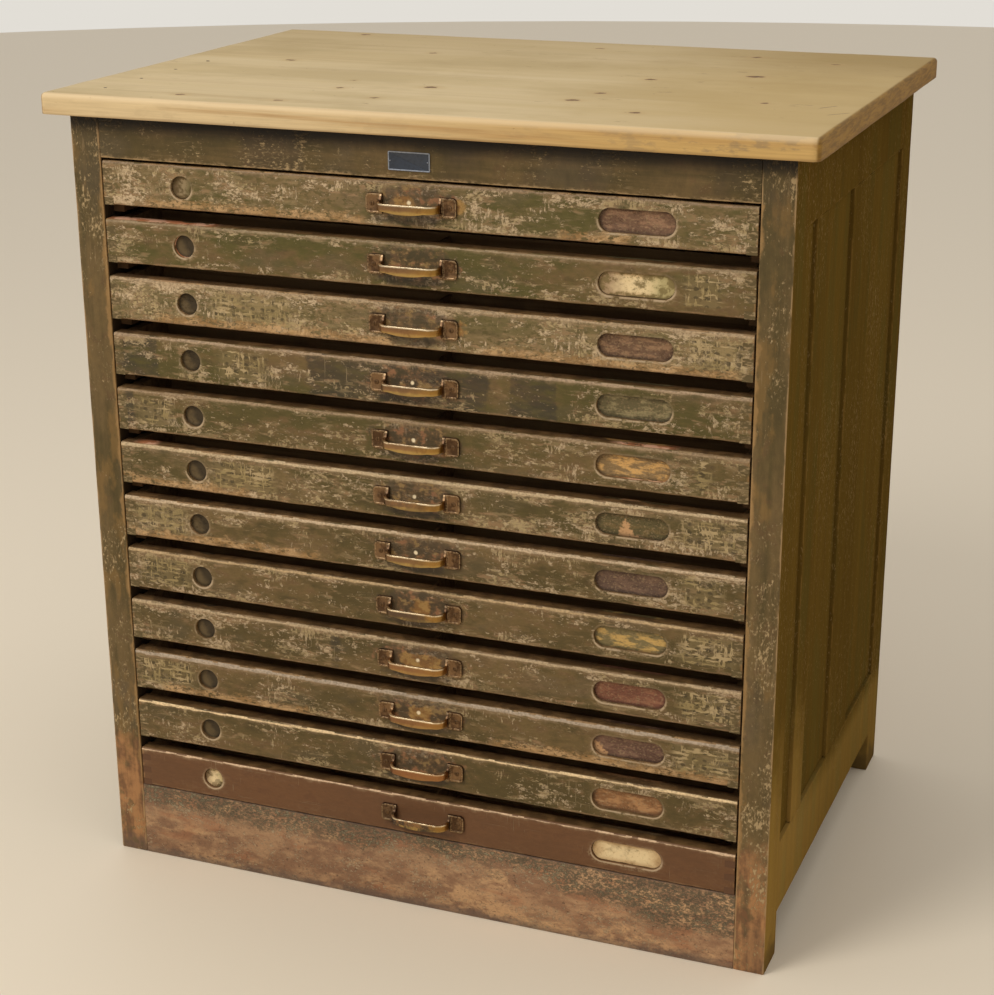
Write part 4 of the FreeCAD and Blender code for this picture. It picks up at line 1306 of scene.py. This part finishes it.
class CABINET_OT_case_fronts(CabinetPiece, bpy.types.Operator):
    """Makes the fronts of the cases, each with a round and a long recess"""

    bl_idname = "cabinet.case_fronts"
    bl_label = "Case Fronts"

    # Cuts along a front, so that its face can stray, and its corner fingers, one above another.
    CUTS = 125
    FINGERS = 6
    RECESS_ARRIS = 0.5 * MM
    # Millimetres over which a mark fades at its ends.
    MARK_FADE = 8.0

    def build(self):
        low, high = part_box(LOWEST + "_front")
        master = self.model(low, high)
        tint = colours()
        olive = FrontPaint("worn olive front",
                           (tint.olive, tint.deep_olive, chip(112, 84, 56))).material
        umber = FrontPaint("umber front", (tint.umber, chip(104, 71, 45), chip(98, 65, 42)),
                           plain=True).material
        for case, look in zip(CASES, LOOKS):
            lift = Vector((0, 0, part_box(case + "_front")[0].z - low.z))
            copy = copied(master, case + "_front_board", lift)
            waver(copy, 0.9 * MM, 0.020)
            waver(copy, 0.9 * MM, 0.11)
            smooth(copy)
            measure(copy, low + lift, high + lift, 0)
            self.age(copy, look, low.x)
            plain = case == LOWEST
            dressed(copy, umber if plain else olive, case, [case + "_front"])
        bpy.data.objects.remove(master)

    def model(self, low, high):
        """The lowest front, with its corner fingers and recesses."""
        size = sizes()
        inner = Vector((size.case_side, 0, 0))
        piece = block("case_front_master", low + inner, high - inner)
        cut_along(piece, 0, self.CUTS)
        bpy.ops.object.mode_set(mode="EDIT")
        for level in range(1, self.FINGERS):
            bpy.ops.mesh.select_all(action="SELECT")
            bpy.ops.mesh.bisect(plane_co=(0, 0, low.z + level * size.finger), plane_no=(0, 0, 1))
        for side in SIDES.values():
            end = side * (high.x - size.case_side)
            pick(piece, "FACE", lambda middle, normal: near(middle.x, end)
                 and int((middle.z - low.z) / size.finger) % 2 == 1)
            bpy.ops.mesh.extrude_region_move(
                TRANSFORM_OT_translate={"value": (side * size.case_side, 0, 0)})
        bpy.ops.object.mode_set(mode="OBJECT")
        middle = (low.z + high.z) / 2
        index = Vector((low.x + size.index_inset, low.y, middle))
        label = Vector((high.x - size.label_inset, low.y, middle))
        self.recess(piece, index, size.index_radius, 0.0, size.index_depth)
        self.recess(piece, label, size.label_height / 2,
                    size.label_length - size.label_height, size.label_depth)
        bpy.ops.object.mode_set(mode="EDIT")
        pick(piece, "EDGE", lambda spot, run: near(spot.y, low.y) and abs(run.x) > 0.9 * run.length
             and (near(spot.z, low.z) or near(spot.z, high.z)))
        bpy.ops.mesh.bevel(offset=size.front_arris, segments=3, affect="EDGES")
        bpy.ops.object.mode_set(mode="OBJECT")
        finish_modifier(piece, "BEVEL", width=self.RECESS_ARRIS, segments=2,
                        limit_method="ANGLE", angle_limit=math.radians(50))
        return piece

    def recess(self, piece, place, radius, straight, depth):
        """Cuts a recess with round ends into the face."""
        cutter = round_ended("cutter", place, radius, straight, 2 * depth)
        finish_modifier(piece, "BOOLEAN", object=cutter, operation="DIFFERENCE", solver="EXACT")
        bpy.data.objects.remove(cutter)

    def age(self, piece, look, left):
        """Stores how worn the front is, its marks, and the colour of its recess floor."""
        along = (read(piece.data.vertices, "co", 3)[:, 0] - left) / MM
        for name in look.MARKS:
            mark = np.zeros(len(along))
            for start, end in look.marks.get(name, ()):
                inside = np.minimum(along - start, end - along)
                mark = np.maximum(mark, np.clip(inside / self.MARK_FADE + 0.5, 0, 1))
            store(piece, name, mark)
        store(piece, "wear", look.wear)
        store(piece, "tan", look.tan)
        store(piece, "recess_colour", look.recess)
        store(piece, "patch_colour", look.patch)
        store(piece, "arris_colour", look.arris)
        store(piece, "arris_width", look.width)


class CABINET_OT_papers(CabinetPiece, bpy.types.Operator):
    """Makes the old cards and scraps that are left in some recesses"""

    bl_idname = "cabinet.papers"
    bl_label = "Papers"

    # How stained and how torn away each one is.
    CARDS = (("case_02", 0.7, 0.0), ("case_12", 0.0, 0.0))
    SCRAPS = (("case_01", 0.9, 0.7), ("case_12", 0.4, 0.5))
    # How far the face and the back of each stand off the recess floor, and its play in it.
    FACE = 1.3 * MM
    BACK = 0.3 * MM
    CARD_PLAY = 0.6 * MM
    SCRAP_PLAY = 0.5 * MM
    FACET = 1.6 * MM

    def build(self):
        size = sizes()
        paper = old_paper()
        for case, stain, torn in self.CARDS:
            low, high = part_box(case + "_front")
            place = Vector((high.x - size.label_inset, low.y + size.label_depth,
                            (low.z + high.z) / 2))
            card = self.crumpled(case + "_card", place, size.label_height / 2 - self.CARD_PLAY,
                                 size.label_length - size.label_height)
            self.keep(card, paper, case, stain, torn)
        for case, stain, torn in self.SCRAPS:
            low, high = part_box(case + "_front")
            place = Vector((low.x + size.index_inset, low.y + size.index_depth,
                            (low.z + high.z) / 2))
            scrap = self.crumpled(case + "_scrap", place,
                                  size.index_radius - self.SCRAP_PLAY, 0)
            self.keep(scrap, paper, case, stain, torn)

    def keep(self, piece, paper, case, stain, torn):
        """Stores how near each point is to the border and to the left end, and dresses it."""
        low, high = (Vector(corner) for corner in (piece.bound_box[0], piece.bound_box[6]))
        middle, half = (low + high) / 2, (high - low) / 2
        store(piece, "border", [max(abs(corner.co.x - middle.x) / half.x,
                                    abs(corner.co.z - middle.z) / half.z)
                                for corner in piece.data.vertices])
        store(piece, "leftward", [(middle.x - corner.co.x) / half.x
                                  for corner in piece.data.vertices])
        store(piece, "stain", stain)
        store(piece, "torn", torn)
        dressed(piece, paper, case)

    def crumpled(self, name, place, radius, straight):
        """A crumpled card on the floor of a recess."""
        half = Vector((straight / 2 + radius, 0, radius))
        card = block(name, place - half - Vector((0, self.FACE, 0)),
                     place + half - Vector((0, self.BACK, 0)))
        cut_along(card, 0, round(2 * half.x / self.FACET))
        cut_along(card, 2, round(2 * half.z / self.FACET))
        waver(card, 1.4 * MM, 0.007)
        shape = round_ended("outline", place, radius, straight, 0.02)
        finish_modifier(card, "BOOLEAN", object=shape, operation="INTERSECT", solver="EXACT")
        bpy.data.objects.remove(shape)
        smooth(card, 60)
        return card


class CABINET_OT_plate(CabinetPiece, bpy.types.Operator):
    """Makes the bare enamelled plate on the top rail"""

    bl_idname = "cabinet.plate"
    bl_label = "Plate"

    CENTRE = (-0.0017, 0.9195)
    SIZE = (0.0494, 0.0206)
    THICKNESS = 1.2 * MM
    BEDDED = 0.4 * MM
    CORNER = 1.2 * MM
    RIM = 1.1 * MM
    RIM_SLOPE = 0.2 * MM
    RIM_HEIGHT = 0.3 * MM
    ARRIS = 0.15 * MM
    PIN = 0.9 * MM
    PIN_INSET = 2.6 * MM

    def build(self):
        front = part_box("front_top_rail")[0].y
        half = Vector((self.SIZE[0] / 2, 0, self.SIZE[1] / 2))
        place = Vector((self.CENTRE[0], front, self.CENTRE[1]))
        low, high = place - half, place + half
        low.y -= self.THICKNESS
        high.y += self.BEDDED
        plate = block("plate", low, high)
        silver = plain_old("plate rim", chip(150, 154, 162), 0.42, Metallic=0.7)
        enamel = plain_old("plate enamel", tuple(colours().plate), 0.35)
        plate.data.materials.append(silver)
        plate.data.materials.append(enamel)
        bpy.ops.object.mode_set(mode="EDIT")
        pick(plate, "EDGE", lambda middle, run: abs(run.y) > 0.9 * run.length)
        bpy.ops.mesh.bevel(offset=self.CORNER, segments=3, affect="EDGES")
        pick(plate, "FACE", lambda middle, normal: normal.y < -0.9)
        bpy.ops.mesh.inset(thickness=self.RIM, depth=0)
        bpy.ops.mesh.inset(thickness=self.RIM_SLOPE, depth=-self.RIM_HEIGHT)
        plate.active_material_index = 1
        bpy.ops.object.material_slot_assign()
        bpy.ops.object.mode_set(mode="OBJECT")
        finish_modifier(plate, "BEVEL", width=self.ARRIS, segments=1, limit_method="ANGLE",
                        angle_limit=math.radians(50))
        apart = half.x - self.PIN_INSET
        pin = stud(Vector((place.x + apart, low.y + 0.2 * MM, place.z)), self.PIN)
        pin.data.materials.append(silver)
        other = copied(pin, "pin", Vector((-2 * apart, 0, 0)))
        plate = joined("bare_plate", [plate, pin, other])
        smooth(plate)
        dressed(plate, None, "carcass")


class CABINET_OT_case_pulls(CabinetPiece, bpy.types.Operator):
    """Makes the brass pulls with their rimmed feet and screws"""

    bl_idname = "cabinet.case_pulls"
    bl_label = "Case Pulls"

    COPPER = {"case_11": 1.0, "case_10": 0.5, "case_09": 0.5, "case_03": 0.3}
    DULL = {"case_12": 1.0, "case_04": 0.3, "case_08": 0.8, "case_06": 0.5, "case_07": 0.3}
    COLUMNS = 10
    BEND_STEPS = 8
    # How far along its arm the strap is, and how much of the foot's height it has gained.
    WIDENING = ((0.30, 0.06), (0.55, 0.24), (0.80, 0.60), (1.0, 0.92))
    RIM = 1.8 * MM
    RIM_SLOPE = 0.5 * MM
    RIM_HEIGHT = 0.5 * MM
    ARRIS = 1.0 * MM
    # The place of a screw along its foot, as a share, and how far its head is let in.
    SCREW_PLACE = 0.54
    SCREW_SUNK = 0.7 * MM

    def build(self):
        low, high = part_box(LOWEST + "_pull")
        master = self.model(low, high)
        for case in CASES:
            lift = Vector((0, 0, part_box(case + "_pull")[0].z - low.z))
            copy = copied(master, case + "_pull_brass", lift)
            store(copy, "copper", self.COPPER.get(case, 0.1))
            store(copy, "dull", self.DULL.get(case, 0.1))
            dressed(copy, None, case, [case + "_pull"])
        bpy.data.objects.remove(master)

    def model(self, low, high):
        """Half a pull, from the middle of its strap to its foot, mirrored."""
        size = sizes()
        middle = (low.z + high.z) / 2
        neck = high.x - size.foot
        centre = middle - size.strap_drop
        half = size.strap_height / 2
        corner = neck - size.bend
        pull = block("pull_master", Vector((0, low.y, centre - half)),
                     Vector((corner, low.y + size.strap, centre + half)))
        cut_along(pull, 0, self.COLUMNS - 1)
        bpy.ops.object.mode_set(mode="EDIT")
        pick(pull, "FACE", lambda spot, normal: near(spot.x, 0) and normal.x < -0.9)
        bpy.ops.mesh.delete(type="FACE")
        for column in range(self.COLUMNS):
            place = corner * column / self.COLUMNS
            pick(pull, "VERT", lambda spot, normal: near(spot.x, place) and spot.z < centre)
            drop = size.strap_belly * (1 - (column / self.COLUMNS) ** 2)
            bpy.ops.transform.translate(value=(0, 0, -drop))
        self.bend(pull, corner, low.y, size.bend)
        self.arm(high.y, middle, neck, low.y + size.bend)
        pick(pull, "FACE", lambda spot, normal: normal.x > 0.9 and near(spot.x, neck)
             and spot.y > high.y - size.strap)
        bpy.ops.mesh.extrude_region_move(TRANSFORM_OT_translate={"value": (size.foot, 0, 0)})
        pick(pull, "EDGE", lambda spot, run: abs(run.y) > 0.9 * run.length
             and near(spot.x, high.x))
        bpy.ops.mesh.bevel(offset=size.foot_corner, segments=4, affect="EDGES")
        pick(pull, "FACE", lambda spot, normal: normal.y < -0.9 and spot.x > neck + 4 * MM)
        bpy.ops.mesh.inset(thickness=self.RIM, depth=0)
        bpy.ops.mesh.inset(thickness=self.RIM_SLOPE, depth=-self.RIM_HEIGHT)
        bpy.ops.object.mode_set(mode="OBJECT")
        finish_modifier(pull, "MIRROR", use_axis=(True, False, False), use_clip=True)
        bpy.ops.object.mode_set(mode="EDIT")
        bpy.ops.mesh.select_all(action="SELECT")
        bpy.ops.mesh.normals_make_consistent(inside=False)
        bpy.ops.object.mode_set(mode="OBJECT")
        finish_modifier(pull, "BEVEL", width=self.ARRIS, segments=3, limit_method="ANGLE",
                        angle_limit=math.radians(38))
        waver(pull, 0.3 * MM, 0.009)
        smooth(pull, 40)
        store(pull, "rise", [corner.co.z - centre for corner in pull.data.vertices])
        pull.data.materials.append(aged_brass())
        face = high.y - size.strap
        place = Vector((neck + size.foot * self.SCREW_PLACE, face + self.SCREW_SUNK, middle))
        return joined("pull_master", [pull, *self.screws(place)])

    def bend(self, pull, corner, front, radius):
        """Carries the end of the strap round a quarter turn."""
        pick(pull, "FACE", lambda spot, normal: normal.x > 0.9 and near(spot.x, corner))
        for _ in range(self.BEND_STEPS):
            bpy.ops.mesh.extrude_region_move(TRANSFORM_OT_translate={"value": (0, 0, 0)})
            bpy.ops.transform.rotate(value=-math.radians(90) / self.BEND_STEPS,
                                     orient_axis="Z",
                                     center_override=(corner, front + radius, 0))

    def arm(self, back, middle, neck, start):
        """Widens the strap from its bend to the foot."""
        size = sizes()
        reach = back - size.strap - start
        low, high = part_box(LOWEST + "_pull")
        gain = high.z - low.z - size.strap_height
        places = [(start + reach * share, widening) for share, widening in self.WIDENING]
        last, height, drop = start, size.strap_height, size.strap_drop
        for place, widening in (*places, (back, 1.0)):
            wanted = size.strap_height + gain * widening
            lift = drop - size.strap_drop * (1 - widening)
            bpy.ops.mesh.extrude_region_move(
                TRANSFORM_OT_translate={"value": (0, place - last, lift)})
            drop -= lift
            bpy.ops.transform.resize(value=(1, 1, wanted / height),
                                     center_override=(neck, place, middle - drop))
            last, height = place, wanted

    def screws(self, place):
        """A slotted round-headed screw at each foot."""
        head = stud(place, sizes().screw, 0.45, segments=20, turn=90)
        slot = block("slot", place + Vector((-0.5 * MM, -3 * MM, -4 * MM)),
                     place + Vector((0.5 * MM, -0.6 * MM, 4 * MM)))
        finish_modifier(head, "BOOLEAN", object=slot, operation="DIFFERENCE", solver="EXACT")
        bpy.data.objects.remove(slot)
        smooth(head)
        head.data.materials.append(plain_old("old screw", chip(112, 84, 56), 0.5, Metallic=0.9))
        other = copied(head, "screw", Vector((-2 * place.x, 0, 0)))
        return [head, other]


class CABINET_OT_trays(CabinetPiece, bpy.types.Operator):
    """Finishes the trays of the cases and the runners that carry them"""

    bl_idname = "cabinet.trays"
    bl_label = "Trays and Runners"

    def build(self):
        tray = raw_pine("tray pine", "x", painted_ends=True)
        runner = plain_old("runner pine", chip(96, 70, 44), 0.75, 60, Specular_IOR_Level=0.1)
        for case in CASES:
            self.assign(case + "_tray", tray)
        for side in SIDES:
            self.assign("runners_" + side, runner)

    def assign(self, node, material):
        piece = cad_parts[node]
        piece.data.materials.clear()
        piece.data.materials.append(material)


class CABINET_OT_stage(CabinetPiece, bpy.types.Operator):
    """Sets the floor, the lights, the background and the camera"""

    bl_idname = "cabinet.stage"
    bl_label = "Stage"

    CAMERA_PLACE = Vector((0.9163, -2.3564, 1.3277))
    CAMERA_FORWARD = Vector((-0.34771, 0.87672, -0.33236))
    CAMERA_RIGHT = Vector((0.93022, 0.36698, -0.00512))
    FOCAL_PIXELS = 2088.65
    IMAGE_PIXELS = (994, 995)
    SENSOR = 36.0
    FLOOR_RADIUS = 9.0

    def build(self):
        settings = bpy.context.scene.cabinet_stage
        self.floor(settings)
        self.lights(settings)
        self.camera()
        bpy.context.scene.view_settings.view_transform = "Standard"

    def floor(self, settings):
        deselect()
        bpy.ops.mesh.primitive_circle_add(vertices=96, radius=self.FLOOR_RADIUS,
                                          fill_type="NGON")
        floor = bpy.context.active_object
        floor.name = "floor"
        f = Finish("plain floor", Roughness=0.55, Specular_IOR_Level=0.3)
        f.surface = settings.floor
        floor.data.materials.append(f.paint())

    def lights(self, settings):
        self.lamp("key lamp", settings.key, 1.8, (-1.5, -2.7, 3.3), (0.0, -0.1, 0.5))
        self.lamp("top lamp", settings.lift, 2.6, (0.4, -0.2, 3.4), (0.0, 0.0, 0.5))
        world = bpy.data.worlds.new("studio")
        bpy.context.scene.world = world
        world.use_nodes = True
        tree = world.node_tree
        sky = tree.nodes["Background"]
        sky.inputs["Color"].default_value = (1.0, 1.0, 1.0, 1.0)
        sky.inputs["Strength"].default_value = settings.sky
        seen = tree.nodes.new("ShaderNodeBackground")
        seen.inputs["Color"].default_value = (*settings.background, 1.0)
        path = tree.nodes.new("ShaderNodeLightPath")
        choose = tree.nodes.new("ShaderNodeMixShader")
        tree.links.new(path.outputs["Is Camera Ray"], choose.inputs[0])
        tree.links.new(sky.outputs[0], choose.inputs[1])
        tree.links.new(seen.outputs[0], choose.inputs[2])
        tree.links.new(choose.outputs[0], tree.nodes["World Output"].inputs["Surface"])

    def lamp(self, name, power, width, place, target):
        data = bpy.data.lights.new(name, "AREA")
        data.energy = power
        data.shape = "DISK"
        data.size = width
        lamp = bpy.data.objects.new(name, data)
        bpy.context.collection.objects.link(lamp)
        lamp.location = place
        aim = Vector(target) - Vector(place)
        lamp.rotation_euler = aim.to_track_quat("-Z", "Y").to_euler()

    def camera(self):
        forward = self.CAMERA_FORWARD.normalized()
        right = self.CAMERA_RIGHT.normalized()
        up = right.cross(forward)
        data = bpy.data.cameras.new("camera")
        data.sensor_width = self.SENSOR
        data.lens = self.FOCAL_PIXELS * self.SENSOR / max(self.IMAGE_PIXELS)
        camera = bpy.data.objects.new("camera", data)
        bpy.context.collection.objects.link(camera)
        turn = Matrix((right, up, -forward)).transposed().to_4x4()
        camera.matrix_world = Matrix.Translation(self.CAMERA_PLACE) @ turn
        bpy.context.scene.camera = camera


class VIEW3D_PT_cabinet(bpy.types.Panel):
    """The cabinet's tools and settings"""

    bl_label = "Type Case Cabinet"
    bl_space_type = "VIEW_3D"
    bl_region_type = "UI"
    bl_category = "Cabinet"

    def draw(self, context):
        for piece in PIECES:
            self.layout.operator(piece.bl_idname)
        for group in (context.scene.cabinet_sizes, context.scene.cabinet_colours,
                      context.scene.cabinet_stage):
            box = self.layout.box()
            for name in group.__annotations__:
                box.prop(group, name)


GROUPS = {"cabinet_sizes": CabinetSizes, "cabinet_colours": CabinetColours,
          "cabinet_stage": StageSettings}
PIECES = (CABINET_OT_top_board, CABINET_OT_face_frame, CABINET_OT_side_frames,
          CABINET_OT_back, CABINET_OT_case_fronts, CABINET_OT_case_pulls,
          CABINET_OT_papers, CABINET_OT_plate, CABINET_OT_trays, CABINET_OT_stage)


def register():
    for name, group in GROUPS.items():
        bpy.utils.register_class(group)
        setattr(bpy.types.Scene, name, PointerProperty(type=group))
    for piece in PIECES:
        bpy.utils.register_class(piece)
    bpy.utils.register_class(VIEW3D_PT_cabinet)


def unregister():
    bpy.utils.unregister_class(VIEW3D_PT_cabinet)
    for piece in reversed(PIECES):
        bpy.utils.unregister_class(piece)
    for name, group in GROUPS.items():
        delattr(bpy.types.Scene, name)
        bpy.utils.unregister_class(group)


def main():
    """Builds the cabinet and its stage."""

    register()
    bpy.ops.cabinet.top_board()
    bpy.ops.cabinet.face_frame()
    bpy.ops.cabinet.side_frames()
    bpy.ops.cabinet.back()
    bpy.ops.cabinet.case_fronts()
    bpy.ops.cabinet.case_pulls()
    bpy.ops.cabinet.papers()
    bpy.ops.cabinet.plate()
    bpy.ops.cabinet.trays()
    bpy.ops.cabinet.stage()


if __name__ == "__main__":
    main()
